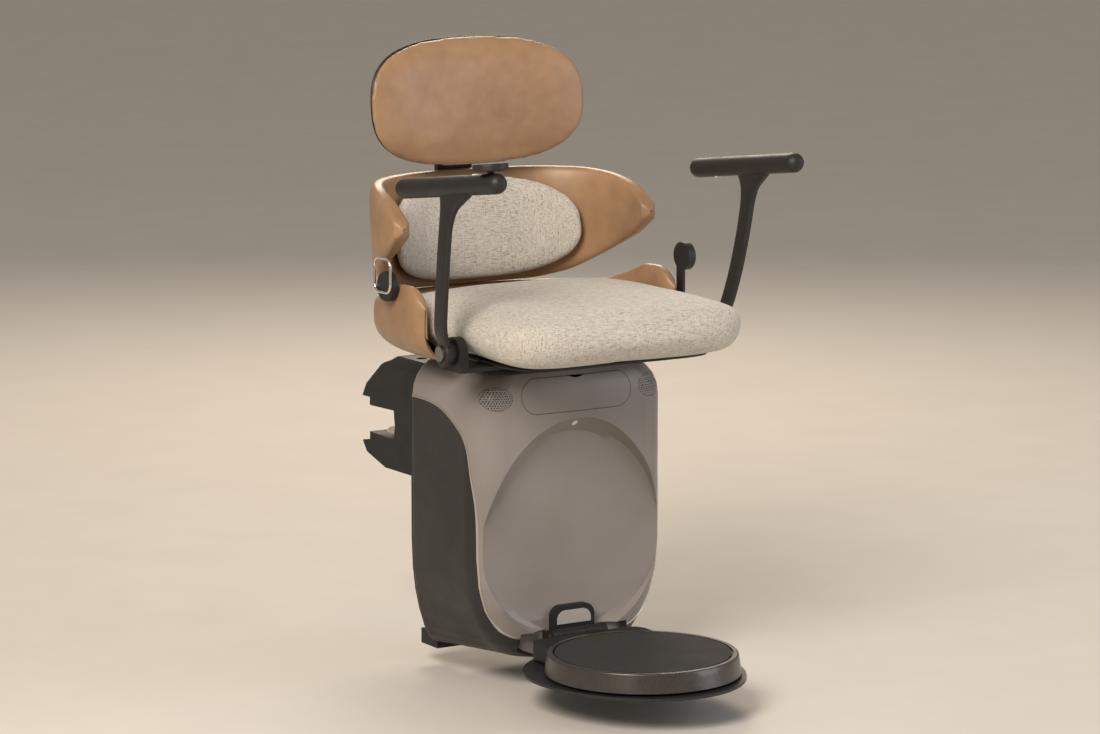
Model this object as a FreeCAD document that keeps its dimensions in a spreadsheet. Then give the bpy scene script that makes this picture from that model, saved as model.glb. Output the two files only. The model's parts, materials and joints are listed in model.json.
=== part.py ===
import FreeCAD, Part
import math
import os
import re

from FreeCAD import Placement, Rotation, Vector

# Stairlift chair on a tube rail, in millimetres. +Z is up, the sitter faces -Y and the
# sitter's left is +X. The origin is on the axis of the rail tube, midway along the jaws.

SIZES = (
    # Rail and carriage
    ("rail_radius", 20.0),
    ("jaw_half_length", 100.0),
    ("jaw_swing_radius", 134.0),
    ("jaw_mouth_half", 20.5),
    ("jaw_tip_reach", 51.0),
    ("jaw_tip_thick", 23.0),
    ("jaw_tip_height", 33.0),
    ("jaw_top", 104.0),
    ("jaw_bottom", 70.0),
    ("web_front", 130.0),
    ("web_back", 46.0),
    ("roller_waist", 10.0),
    ("roller_end", 15.0),
    ("roller_length", 44.0),
    ("roller_station", 62.0),
    ("roller_gap", 1.2),
    ("axle_radius", 4.0),
    ("axle_length", 71.5),
    ("axle_start", -44.0),
    ("running_fit", 0.05),
    ("bolt_radius", 4.0),
    ("bolt_head_radius", 7.0),
    ("bolt_head", 6.0),
    ("bolt_grip", 26.0),
    ("bolt_pitch", 36.0),
    ("drive_teeth", 14),
    ("drive_module", 2.0),
    ("drive_width", 16.0),
    ("drive_motor_radius", 24.0),
    ("drive_motor_length", 62.0),
    ("drive_shaft_radius", 5.0),
    # Levelling hub between the carriage and the housing
    ("hub_radius", 66.0),
    ("hub_wall", 5.0),
    ("hub_gap", 0.4),
    ("stub_radius", 45.0),
    ("bush_wall", 7.0),
    ("level_gear_teeth", 48),
    ("level_pinion_teeth", 12),
    ("level_module", 2.5),
    ("level_gear_width", 8.0),
    ("level_motor_radius", 22.0),
    ("level_motor_length", 74.0),
    ("level_motor_foot", 26.0),
    # Housing
    ("front_reach", 415.0),
    ("deck_drop", 258.0),
    ("housing_half_width", 165.0),
    ("housing_depth", 209.0),
    ("housing_top", 390.0),
    ("housing_bottom", 42.0),
    ("housing_wall", 3.0),
    ("housing_corner", 48.0),
    ("housing_back_corner", 14.0),
    ("front_bow", 6.0),
    ("foot_round_height", 160.0),
    ("foot_round_front", 92.0),
    ("foot_round_back", 40.0),
    ("foot_round_depth", 14.0),
    ("head_round_height", 55.0),
    ("head_round_inset", 50.0),
    ("head_round_depth", 16.0),
    ("chassis_thick", 6.0),
    ("cover_gap", 0.3),
    ("shelf_thick", 8.0),
    ("shelf_drop", 9.0),
    ("shelf_front", 44.0),
    ("trim_width", 2.6),
    ("trim_proud", 0.5),
    ("side_line_height", 332.0),
    ("side_line_front", 28.0),
    # Recess for the folded footrest
    ("recess_half_width", 154.0),
    ("recess_floor_half_width", 132.0),
    ("recess_centre", 128.0),
    ("recess_top", 316.0),
    ("recess_floor_top", 293.0),
    ("recess_bottom", -25.0),
    ("recess_floor_bottom", -6.0),
    ("recess_depth", 24.0),
    ("recess_shoulder", 20.0),
    ("foot_notch_half", 92.0),
    # Hatch, its tray and the isolator
    ("hatch_width", 189.0),
    ("hatch_height", 53.0),
    ("hatch_centre", 352.0),
    ("hatch_gap", 0.8),
    ("tray_margin", 4.0),
    ("tray_depth", 34.0),
    ("tray_wall", 2.0),
    ("isolator_width", 30.0),
    ("isolator_height", 18.0),
    ("isolator_depth", 9.0),
    # Speakers
    ("speaker_x", 131.0),
    ("speaker_height", 352.0),
    ("speaker_half_width", 23.0),
    ("speaker_half_height", 17.0),
    ("speaker_thick", 2.0),
    ("speaker_magnet", 12.0),
    ("grille_pitch", 5.0),
    ("grille_hole", 1.6),
    ("grille_gap", 0.4),
    # Batteries, board and rear brackets
    ("battery_width", 78.0),
    ("battery_depth", 62.0),
    ("battery_height", 92.0),
    ("battery_spacing", 84.0),
    ("battery_floor", 4.0),
    ("board_width", 62.0),
    ("board_height", 84.0),
    ("board_thick", 1.6),
    ("board_post", 8.0),
    ("board_x", 108.0),
    ("board_floor", 262.0),
    ("bracket_width", 44.0),
    ("bracket_x", 96.0),
    ("upper_bracket_reach", 54.0),
    ("upper_bracket_height", 76.0),
    ("upper_bracket_thick", 30.0),
    ("upper_bracket_tilt", 28.0),
    ("lower_bracket_reach", 48.0),
    ("lower_bracket_top", 4.0),
    ("lower_bracket_thick", 40.0),
    # Footrest
    ("pivot_behind_front", 2.0),
    ("pivot_below_deck", 6.5),
    ("barrel_radius", 9.5),
    ("barrel_half_length", 47.5),
    ("pin_radius", 4.5),
    ("knuckle_gap", 0.3),
    ("footrest_centre", 174.0),
    ("mat_radius", 127.0),
    ("mat_thick", 3.5),
    ("plate_radius", 130.0),
    ("rim_top_radius", 137.4),
    ("rim_bottom_radius", 142.0),
    ("footrest_thick", 28.0),
    ("neck_half_width", 96.0),
    ("neck_front", 80.0),
    ("neck_back", 12.0),
    ("neck_drop", 4.0),
    ("flange_half_width", 157.0),
    ("flange_front", 330.0),
    ("flange_widest", 140.0),
    ("flange_back_half", 150.0),
    ("flange_back_cut", 4.0),
    ("flange_drop", 32.0),
    ("flange_thick", 4.0),
    ("flange_post_radius", 4.0),
    ("flange_post_length", 14.0),
    ("flange_post_pitch", 70.0),
    ("arch_half_width", 36.0),
    ("arch_top", 34.0),
    ("arch_front", 12.5),
    ("arch_face_inset", 7.0),
    ("arch_face_thick", 1.5),
    # Swivel and seat
    ("swivel_behind_front", 90.0),
    ("post_radius", 30.0),
    ("post_flange_radius", 40.0),
    ("post_flange_top", 396.0),
    ("swivel_radius", 60.0),
    ("swivel_gap", 0.3),
    ("seat_plate_bottom", 410.0),
    ("seat_plate_thick", 6.0),
    ("seat_plate_front", -135.0),
    ("seat_plate_corner", 40.0),
    ("cushion_half_width", 197.0),
    ("cushion_front", -166.0),
    ("cushion_back", 225.0),
    ("cushion_bottom", 416.5),
    ("cushion_top", 500.0),
    ("cushion_corner", 50.0),
    ("cushion_side_inset", 12.0),
    ("cushion_crown_inset", 60.0),
    ("cushion_bow", 9.0),
    # Shells round the sitter
    ("shell_half_width", 227.0),
    ("hip_centre", 70.0),
    ("hip_depth", 266.0),
    ("hip_wall", 22.0),
    ("hip_bottom", 403.0),
    ("hip_top", 514.0),
    ("hip_back_top", 474.0),
    ("hip_under_inset", 46.0),
    ("hip_under_height", 44.0),
    ("back_centre", 130.0),
    ("back_depth", 215.0),
    ("back_wall", 26.0),
    ("back_bottom", 477.0),
    ("back_top", 648.0),
    ("pad_half_width", 160.0),
    ("pad_bottom", 482.0),
    ("pad_top", 641.0),
    ("pad_thick", 30.0),
    ("pad_gap", 1.45),
    ("head_half_width", 185.0),
    ("head_bottom", 657.0),
    ("head_top", 853.0),
    ("head_edge", 262.0),
    ("head_bow", 26.0),
    ("head_thick", 36.0),
    ("head_shell_thick", 10.0),
    ("spine_width", 60.0),
    ("spine_thick", 10.0),
    ("spine_front", 352.4),
    ("spine_gap", 0.4),
    ("spine_top", 790.0),
    ("spine_foot_thick", 5.6),
    ("spine_foot_front", 150.0),
    ("back_lean", 0.08),
    ("back_middle", 560.0),
    # Arms
    ("arm_pivot_x", 214.0),
    ("arm_pivot_behind", -12.0),
    ("arm_pivot_height", 431.0),
    ("ear_thick", 14.0),
    ("ear_radius", 23.0),
    ("ear_gap", 0.4),
    ("ear_foot_thick", 6.0),
    ("pin_head_lip", 5.0),
    ("arm_eye_radius", 18.0),
    ("arm_eye_thick", 18.0),
    ("arm_pin_radius", 6.0),
    ("post_wide", 28.0),
    ("post_thin", 11.0),
    ("post_low_x", 246.0),
    ("post_low_behind", -21.0),
    ("post_low_height", 462.0),
    ("post_high_x", 258.0),
    ("post_high_behind", -61.0),
    ("post_high_height", 645.0),
    ("bar_radius", 14.5),
    ("bar_front_x", 250.0),
    ("bar_front_behind", -184.0),
    ("bar_front_height", 692.0),
    ("bar_back_x", 253.0),
    ("bar_back_behind", 63.0),
    ("bar_back_height", 661.0),
    ("puck_radius", 25.0),
    ("puck_thick", 11.0),
    ("puck_lift", 3.0),
    ("stem_radius", 5.0),
    ("stem_depth", 5.0),
    ("ball_radius", 7.2),
    ("ball_gap", 0.2),
    ("puck_along", 13.5),
    ("lens_radius", 5.0),
    ("lens_depth", 6.0),
    ("lens_along", 54.0),
    ("lens_proud", 0.8),
    ("rear_lens_along", 200.0),
    # Belt
    ("reel_behind", 152.0),
    ("reel_height", 508.0),
    ("reel_radius", 22.0),
    ("reel_thick", 12.5),
    ("tongue_radius", 2.0),
    ("tongue_half_height", 27.0),
    ("tongue_half_width", 25.0),
    ("tongue_rise", 17.0),
    ("buckle_behind", 72.0),
    ("buckle_height", 529.0),
    ("buckle_radius", 21.0),
    ("buckle_face", 241.0),
    ("buckle_thick", 13.7),
    ("buckle_button_radius", 10.0),
    ("buckle_button_proud", 2.0),
    ("buckle_pocket", 8.3),
    ("buckle_button_depth", 6.0),
    ("stalk_half_width", 9.0),
    ("stalk_thick", 4.0),
    ("stalk_foot", 466.0),
    ("reel_stud_radius", 4.0),
    ("reel_stud_height", 498.0),
    ("recess_light_radius", 4.0),
    ("screw_radius", 2.5),
    ("screw_head_radius", 5.0),
    ("screw_head", 3.0),
    ("screw_x", 124.0),
)

SCREW_LEVELS = (60, 200, 330)

doc = FreeCAD.newDocument("stairlift_chair")
sheet = doc.addObject("Spreadsheet::Sheet", "Sizes")
for row, (alias, value) in enumerate(SIZES, start=1):
    sheet.set("A%d" % row, alias)
    sheet.set("B%d" % row, str(value))
    sheet.setAlias("B%d" % row, alias)
doc.recompute()

ALIASES = {alias for alias, value in SIZES}
nodes = []


def size(alias):
    """The value of one named size."""
    return float(sheet.get(alias))


def rule(text):
    """An expression on the sheet, from words that are its aliases."""
    return re.sub(r"[a-z_]+", lambda m: "Sizes." + m.group() if m.group() in ALIASES else m.group(), text)


def bind(thing, rules):
    """Ties properties of an object to expressions."""
    for prop, text in rules.items():
        thing.setExpression(prop, rule(text))
    return thing


def keep(thing, name):
    """Names a finished piece and puts it on the list of pieces."""
    thing.Label = name
    nodes.append(thing)
    return thing


def place(thing, at):
    """Ties an object's place to three expressions."""
    return bind(thing, {"Placement.Base.x": at[0], "Placement.Base.y": at[1], "Placement.Base.z": at[2]})


def box(name, lengths, at):
    """A box from its lowest corner."""
    thing = doc.addObject("Part::Box", name)
    bind(thing, {"Length": lengths[0], "Width": lengths[1], "Height": lengths[2]})
    return place(thing, at)


TURNS = {
    "X": Rotation(Vector(0, 1, 0), 90),
    "Y": Rotation(Vector(1, 0, 0), -90),
    "Z": Rotation(),
}


def cylinder(name, radius, length, at, axis):
    """A round bar from the middle of its lower end, along an axis."""
    thing = doc.addObject("Part::Cylinder", name)
    bind(thing, {"Radius": radius, "Height": length})
    thing.Placement = Placement(Vector(), TURNS[axis])
    return place(thing, at)


def cone(name, radius_low, radius_high, length, at):
    """A round taper from the middle of its lower end, along Z."""
    thing = doc.addObject("Part::Cone", name)
    bind(thing, {"Radius1": radius_low, "Radius2": radius_high, "Height": length})
    return place(thing, at)


def fuse(name, *things):
    """One solid from several."""
    thing = doc.addObject("Part::MultiFuse", name)
    thing.Shapes = list(things)
    thing.Refine = True
    return thing


def cut(name, base, *tools):
    """A solid less others."""
    thing = doc.addObject("Part::Cut", name)
    thing.Base = base
    thing.Tool = tools[0] if len(tools) == 1 else fuse(name + "_tools", *tools)
    thing.Refine = True
    return thing


def solid(name, shape):
    """A piece whose shape is worked out from the sheet."""
    thing = doc.addObject("Part::Feature", name)
    thing.Shape = shape
    return thing


def padded(name, role, edges, length, offset):
    """A body with one sketch on an origin plane, padded by an expression."""
    body = doc.addObject("PartDesign::Body", name)
    sketch = body.newObject("Sketcher::SketchObject", name + "_sketch")
    plane = next(face for face in body.Origin.OriginFeatures if face.Role == role)
    sketch.AttachmentSupport = [(plane, "")]
    sketch.MapMode = "FlatFace"
    sketch.setExpression("AttachmentOffset.Base.z", rule(offset))
    for edge in edges:
        sketch.addGeometry(edge, False)
    pad = body.newObject("PartDesign::Pad", name + "_pad")
    pad.Profile = sketch
    pad.setExpression("Length", rule(length))
    return body


def lines(points):
    """Straight edges that close a run of (across, up) points, for a sketch."""
    corners = [Vector(x, y, 0) for x, y in points]
    return [Part.LineSegment(a, b) for a, b in zip(corners, corners[1:] + corners[:1])]


def circle(x, y, radius):
    """A circle for a sketch."""
    return Part.Circle(Vector(x, y, 0), Vector(0, 0, 1), radius)


def smooth_ring(points):
    """A closed smooth curve through points."""
    curve = Part.BSplineCurve()
    curve.interpolate(points, PeriodicFlag=True)
    return Part.Wire(curve.toShape())


def smooth_edge(points):
    """An open smooth curve through points."""
    curve = Part.BSplineCurve()
    curve.interpolate(points)
    return curve.toShape()


def loft(wires, ruled=False):
    """A solid through closed curves."""
    return Part.makeLoft(wires, True, ruled)


def turned(points, at, axis):
    """A solid of revolution from (radius, along) points about an axis through a place."""
    outline = Part.makePolygon([Vector(r, 0, a) for r, a in points + points[:1]])
    shape = Part.Face(outline).revolve(Vector(), Vector(0, 0, 1), 360)
    shape.Placement = Placement(at, TURNS[axis])
    return shape


# Places that many pieces share
FRONT = -size("front_reach")
DECK = -size("deck_drop")
BACK = FRONT + size("housing_depth")
TOP = DECK + size("housing_top")
BOTTOM = DECK - size("housing_bottom")


def behind(distance):
    """The Y of a point this far behind the front of the housing."""
    return FRONT + distance


def above(distance):
    """The Z of a point this far above the top of the footrest."""
    return DECK + distance


# Carriage


def swing_limit(name, profile):
    """A jaw profile in side view, run along the rail and rounded so that the housing can swing."""
    half = size("jaw_half_length")
    face = Part.Face(Part.makePolygon([Vector(-half, y, z) for y, z in profile + profile[:1]]))
    run = face.extrude(Vector(2 * half, 0, 0))
    ring = Part.makeCylinder(size("jaw_swing_radius"), 4 * half, Vector(0, -2 * half, 0), Vector(0, 1, 0))
    return run.common(ring)


def axle_holes(shape, level):
    """Cuts the holes for the two roller axles at one level."""
    radius = size("axle_radius")
    length = size("axle_length")
    for side in (-1, 1):
        start = Vector(side * size("roller_station"), size("axle_start"), level)
        shape = shape.cut(Part.makeCylinder(radius, length, start, Vector(0, 1, 0)))
    return shape


def roller_pockets(shape, level):
    """Cuts the hollows that the rollers of one level turn in."""
    radius = size("roller_end") + size("roller_gap")
    length = size("roller_length") + 2 * size("roller_gap")
    for side in (-1, 1):
        start = Vector(side * size("roller_station"), -length / 2, level)
        shape = shape.cut(Part.makeCylinder(radius, length, start, Vector(0, 1, 0)))
        slot = Part.makeBox(2 * radius, length, abs(level), Vector(start.x - radius, start.y, min(level, 0)))
        shape = shape.cut(slot)
    return shape


roller_level = size("rail_radius") + size("roller_waist") + size("running_fit")
mouth = size("jaw_mouth_half")
tip = size("jaw_tip_reach")
claw = tip - size("jaw_tip_thick")
tip_height = size("jaw_tip_height")
web = -size("web_back")
web_split = 9.0 - size("web_front")
jaw_step = size("jaw_tip_thick") * 0.55

upper_profile = [
    (web_split, mouth + 2), (web, mouth + 2), (claw, mouth), (claw, tip_height), (tip, tip_height),
    (tip - jaw_step, tip_height + mouth), (web + 32, size("jaw_top") - 11), (web + 21, size("jaw_top") - 7),
    (web + 12, size("jaw_top")), (web_split, size("jaw_top")),
]
lower_profile = [
    (web_split, -mouth - 2), (web, -mouth - 2), (claw, -mouth), (claw, -tip_height), (tip, -tip_height - 4),
    (tip - jaw_step, -tip_height - mouth), (web + 27, -size("jaw_bottom")), (web_split, -size("jaw_bottom")),
]
web_profile = [
    (web_split, mouth + 2), (web, mouth + 2), (web - 3, 0), (web, -mouth - 2), (web_split, -mouth - 2),
]
bolt_x = size("jaw_half_length") - 34
bolt_y = web - 27


def bolt_holes(shape, low, high):
    """Cuts the four holes of the jaw bolts between two heights."""
    for x in (-bolt_x, bolt_x):
        for y in (bolt_y, bolt_y - size("bolt_pitch")):
            hole = Part.makeCylinder(size("bolt_radius") + size("running_fit"), high - low, Vector(x, y, low))
            shape = shape.cut(hole)
    return shape


bolt_low = -mouth - 2 - size("bolt_grip")
bolt_high = mouth + 2 + size("bolt_grip")
drive_radius = size("drive_teeth") * size("drive_module") / 2
drive_level = -size("rail_radius") - drive_radius - size("drive_module")
motor_start = web - 6 - size("drive_motor_length")


def motor_space(shape, grown=0.0):
    """Cuts the bore for the drive motor and the passage of its shaft."""
    radius = size("drive_motor_radius") + grown
    start = Vector(0, motor_start, drive_level)
    shape = shape.cut(Part.makeCylinder(radius, size("drive_motor_length"), start, Vector(0, 1, 0)))
    passage = Part.makeCylinder(size("drive_shaft_radius") + 1, -motor_start, start, Vector(0, 1, 0))
    shape = shape.cut(passage)
    wheel = drive_radius + size("drive_module") + size("roller_gap")
    half = size("drive_width") / 2 + size("roller_gap")
    shape = shape.cut(Part.makeCylinder(wheel, 2 * half, Vector(0, -half, drive_level), Vector(0, 1, 0)))
    mouth_box = Part.makeBox(2 * wheel, 2 * half, -drive_level, Vector(-wheel, -half, drive_level))
    return shape.cut(mouth_box)


upper_jaw = roller_pockets(axle_holes(swing_limit("upper_jaw", upper_profile), roller_level), roller_level)
upper_jaw = bolt_holes(upper_jaw, mouth, bolt_high)
head_room = size("bolt_head_radius") + 1
for bolt_side in (-bolt_x, bolt_x):
    for bolt_row in (bolt_y, bolt_y - size("bolt_pitch")):
        well = Part.makeCylinder(head_room, size("jaw_top"), Vector(bolt_side, bolt_row, bolt_high))
        upper_jaw = upper_jaw.cut(well)
keep(solid("upper_jaw_shape", upper_jaw), "upper_jaw")

lower_jaw = roller_pockets(axle_holes(swing_limit("lower_jaw", lower_profile), -roller_level), -roller_level)
lower_jaw = motor_space(bolt_holes(lower_jaw, bolt_low, -mouth))
keep(solid("lower_jaw_shape", lower_jaw), "lower_jaw")

carriage_web = motor_space(bolt_holes(swing_limit("web", web_profile), -mouth - 3, mouth + 3))
keep(solid("carriage_web_shape", carriage_web), "carriage_web")

bolts = []
for bolt_side in (-bolt_x, bolt_x):
    for bolt_row in (bolt_y, bolt_y - size("bolt_pitch")):
        shank = Part.makeCylinder(size("bolt_radius"), bolt_high - bolt_low, Vector(bolt_side, bolt_row, bolt_low))
        head = Part.makeCylinder(size("bolt_head_radius"), size("bolt_head"), Vector(bolt_side, bolt_row, bolt_high))
        bolts.append(shank.fuse(head).removeSplitter())
keep(solid("jaw_bolts_shape", Part.makeCompound(bolts)), "jaw_bolts")

axles = []
for level in (-roller_level, roller_level):
    for side in (-1, 1):
        start = Vector(side * size("roller_station"), size("axle_start"), level)
        axles.append(Part.makeCylinder(size("axle_radius"), size("axle_length"), start, Vector(0, 1, 0)))
keep(solid("roller_axles_shape", Part.makeCompound(axles)), "roller_axles")


def roller(name, side, level):
    """A waisted roller that fits round the top or the bottom of the rail tube."""
    half = size("roller_length") / 2
    waist = size("roller_waist")
    end = size("roller_end")
    hole = size("axle_radius") + size("running_fit")
    start = Vector(0, hole, -half)
    low = Vector(0, end, -half)
    high = Vector(0, end, half)
    edges = [
        Part.makeLine(start, low),
        Part.Arc(low, Vector(0, waist, 0), high).toShape(),
        Part.makeLine(high, Vector(0, hole, half)),
        Part.makeLine(Vector(0, hole, half), start),
    ]
    shape = Part.Face(Part.Wire(edges)).revolve(Vector(), Vector(0, 0, 1), 360)
    shape.Placement = Placement(Vector(side * size("roller_station"), 0, level), TURNS["Y"])
    keep(solid(name + "_shape", shape), name)


roller("roller_upper_right", -1, roller_level)
roller("roller_upper_left", 1, roller_level)
roller("roller_lower_right", -1, -roller_level)
roller("roller_lower_left", 1, -roller_level)


def gear_face(teeth, module, turn):
    """An involute gear outline: pressure angle 25 degrees, thinned a little for backlash."""
    pitch = teeth * module / 2
    base = pitch * math.cos(math.radians(25))
    outer = pitch + 0.85 * module
    root = pitch - 1.15 * module
    half_tooth = math.pi / (2 * teeth) - 0.07 / teeth * 2

    def involute(radius):
        """The polar angle that an involute has turned at a radius."""
        if radius <= base:
            return 0.0
        roll = math.sqrt((radius / base) ** 2 - 1)
        return roll - math.atan(roll)

    reach = involute(pitch)
    points = []
    for tooth in range(teeth):
        middle = 2 * math.pi * tooth / teeth + turn
        flank = [root] + [base + (outer - base) * k / 4 for k in range(5)]
        flank = [radius for radius in flank if radius >= root]
        left = [(radius, middle - half_tooth - reach + involute(radius)) for radius in sorted(flank)]
        right = [(radius, 2 * middle - angle) for radius, angle in reversed(left)]
        points += left + right
    corners = [Vector(radius * math.cos(angle), radius * math.sin(angle), 0) for radius, angle in points]
    return Part.Face(Part.makePolygon(corners + corners[:1]))


def gear(teeth, module, width, at, turn):
    """A gear about an axis along Y, from its back face forward."""
    shape = gear_face(teeth, module, turn).extrude(Vector(0, 0, width))
    shape.Placement = Placement(at, TURNS["Y"])
    return shape


drive_wheel = gear(int(size("drive_teeth")), size("drive_module"), size("drive_width"),
                   Vector(0, -size("drive_width") / 2, drive_level), 0.0)
shaft_start = motor_start + size("drive_motor_length") + size("running_fit")
drive_shaft = Part.makeCylinder(size("drive_shaft_radius"), -size("drive_width") / 2 - shaft_start + 1,
                                Vector(0, shaft_start, drive_level), Vector(0, 1, 0))
keep(solid("drive_pinion_shape", drive_wheel.fuse(drive_shaft)), "drive_pinion")

keep(cylinder("drive_motor_body", "drive_motor_radius", "drive_motor_length",
              ("0", str(motor_start), str(drive_level)), "Y"), "drive_motor")

# Levelling hub

hub_front = BACK + size("hub_gap")
hub_back = web_split
bush_radius = size("stub_radius") + size("bush_wall")
gear_back = BACK - size("chassis_thick") - size("hub_gap")
gear_start = gear_back - size("level_gear_width")
hub = Part.makeCylinder(size("hub_radius"), hub_back - hub_front, Vector(0, hub_front, 0), Vector(0, 1, 0))
hollow = Part.makeCylinder(size("hub_radius") - size("hub_wall"), hub_back - hub_front - 8,
                           Vector(0, hub_front + 8, 0), Vector(0, 1, 0))
stub = Part.makeCylinder(size("stub_radius") - size("running_fit"), hub_front - gear_back + 1,
                         Vector(0, gear_back, 0), Vector(0, 1, 0))
bore = Part.makeCylinder(size("stub_radius") - 12, 200, Vector(0, gear_back - 20, 0), Vector(0, 1, 0))
keep(solid("levelling_hub_shape", hub.cut(hollow).fuse(stub).cut(bore).removeSplitter()), "levelling_hub")

level_gear_radius = size("level_gear_teeth") * size("level_module") / 2
level_pinion_radius = size("level_pinion_teeth") * size("level_module") / 2
level_drop = level_gear_radius + level_pinion_radius
ring = gear(int(size("level_gear_teeth")), size("level_module"), size("level_gear_width"),
            Vector(0, gear_start, 0), math.pi / 2)
ring = ring.cut(Part.makeCylinder(size("stub_radius") - 12, 60, Vector(0, gear_start - 20, 0), Vector(0, 1, 0)))
keep(solid("levelling_gear_shape", ring), "levelling_gear")

pinion = gear(int(size("level_pinion_teeth")), size("level_module"), size("level_gear_width"),
              Vector(0, gear_start, -level_drop), math.pi / 2 + math.pi / size("level_pinion_teeth"))
pinion_shaft = Part.makeCylinder(size("drive_shaft_radius"), 9, Vector(0, gear_start - 9, -level_drop),
                                 Vector(0, 1, 0))
keep(solid("levelling_pinion_shape", pinion.fuse(pinion_shaft)), "levelling_pinion")

# Housing: chassis


def ease(share):
    """How far a quarter round has drawn in, from 0 at its start to 1 at its end."""
    return 1 - math.sqrt(max(0.0, 1 - share * share))


def housing_section(level, front_inset, back_inset, depth_inset, grow):
    """The closed plan outline of the housing at one height, grown outwards by a distance."""
    front_half = size("housing_half_width") - front_inset + grow
    back_half = size("housing_half_width") - back_inset + grow
    near = FRONT + depth_inset - grow
    far = BACK + grow
    corner = size("housing_corner") + grow
    back_corner = size("housing_back_corner") + grow
    bow = size("front_bow")
    mid = corner * math.sin(math.pi / 4)

    def at(x, y):
        return Vector(x, y, level)

    edges = [
        Part.Arc(at(corner - front_half, near + bow), at(0, near), at(front_half - corner, near + bow)).toShape(),
        Part.Arc(at(front_half - corner, near + bow), at(front_half - corner + mid, near + bow + corner - mid),
                 at(front_half, near + bow + corner)).toShape(),
        Part.makeLine(at(front_half, near + bow + corner), at(back_half, far - back_corner)),
        Part.Arc(at(back_half, far - back_corner), at(back_half - back_corner * 0.29, far - back_corner * 0.29),
                 at(back_half - back_corner, far)).toShape(),
        Part.makeLine(at(back_half - back_corner, far), at(back_corner - back_half, far)),
        Part.Arc(at(back_corner - back_half, far), at(back_corner * 0.29 - back_half, far - back_corner * 0.29),
                 at(-back_half, far - back_corner)).toShape(),
        Part.makeLine(at(-back_half, far - back_corner), at(-front_half, near + bow + corner)),
        Part.Arc(at(-front_half, near + bow + corner), at(corner - mid - front_half, near + bow + corner - mid),
                 at(corner - front_half, near + bow)).toShape(),
    ]
    return Part.Wire(edges)


def housing_form(grow):
    """The whole outer form of the housing, grown outwards by a distance."""
    sections = []
    foot = size("foot_round_height")
    head = size("head_round_height")
    for share in (1.0, 0.98, 0.93, 0.84, 0.7, 0.5, 0.28, 0.0):
        level = BOTTOM + foot - share * (foot + grow)
        draw = ease(share)
        sections.append(housing_section(level, draw * size("foot_round_front"), draw * size("foot_round_back"),
                                        draw * size("foot_round_depth"), grow))
    for share in (0.0, 0.3, 0.55, 0.76, 0.91, 1.0):
        level = TOP - head + share * (head + grow)
        draw = ease(share)
        sections.append(housing_section(level, draw * size("head_round_inset"), draw * size("head_round_inset"),
                                        draw * size("head_round_depth"), grow))
    return loft(sections, True)


def slab(x0, x1, y0, y1, z0, z1):
    """A box between two corners."""
    return Part.makeBox(x1 - x0, y1 - y0, z1 - z0, Vector(x0, y0, z0))


wall = size("housing_wall")
outer_form = housing_form(0.0)
inner_form = housing_form(-wall)

# The rear is open, so the plate of the chassis closes it inside the walls
plate_face = BACK - size("chassis_thick")
fit = size("cover_gap")
lined_form = housing_form(-wall - fit)
shelf_top = TOP - size("shelf_drop")
rear_run = lined_form.copy()
rear_run.translate(Vector(0, wall + 20, 0))
plate = rear_run.common(slab(-400, 400, plate_face, BACK, BOTTOM, shelf_top))
shelf = lined_form.common(
    slab(-400, 400, behind(size("shelf_front")), plate_face, shelf_top - size("shelf_thick"), shelf_top))
chassis = plate.fuse(shelf)
chassis = chassis.cut(Part.makeCylinder(bush_radius, 60, Vector(0, BACK - 50, 0), Vector(0, 1, 0)))
swivel_y = behind(size("swivel_behind_front"))
screw_places = [(side * size("screw_x"), above(level)) for side in (-1, 1) for level in SCREW_LEVELS]
for screw_x, screw_z in screw_places:
    screw_hole = Part.makeCylinder(size("screw_radius") + size("running_fit"), 30,
                                   Vector(screw_x, plate_face - 10, screw_z), Vector(0, 1, 0))
    chassis = chassis.cut(screw_hole)
keep(solid("chassis_shape", chassis.removeSplitter()), "chassis")

keep(solid("hub_bush_shape", Part.makeCylinder(bush_radius, size("chassis_thick"),
     Vector(0, BACK - size("chassis_thick"), 0), Vector(0, 1, 0)).cut(
     Part.makeCylinder(size("stub_radius"), 60, Vector(0, BACK - 40, 0), Vector(0, 1, 0)))), "hub_bush")

# Housing: covers

LINE_SHAPE = ((21, 0), (-59, 0), (-97, -7), (-133, -24), (-158, -44))


def side_line():
    """Where the side covers end, as (behind, above) points from the rear top to the front foot."""
    top = size("side_line_height")
    near = size("side_line_front")
    depth = size("housing_depth")
    points = [(depth + along, top + down) for along, down in LINE_SHAPE]
    points += [(near + 11, top - 87), (near + 3, top - 132), (near, top - 192), (near, 80), (near - 1, 30)]
    points += [(near - 8, 2), (near - 24, -16), (near - 44, -30)]
    return points


def side_prism(shift):
    """Everything behind and below the side line, moved outwards by a distance."""
    points = side_line()
    moved = []
    for index, (along, level) in enumerate(points):
        before = points[max(index - 1, 0)]
        after = points[min(index + 1, len(points) - 1)]
        run = (after[0] - before[0], after[1] - before[1])
        length = math.hypot(*run)
        moved.append(Vector(-400, behind(along + run[1] / length * shift), above(level - run[0] / length * shift)))
    low = above(-120)
    corners = [moved[-1], Vector(-400, moved[-1].y, low), Vector(-400, moved[0].y, low), moved[0]]
    outline = Part.Wire([smooth_edge(moved)] + [Part.makeLine(a, b) for a, b in zip(corners, corners[1:])])
    return Part.Face(outline).extrude(Vector(800, 0, 0))


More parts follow.
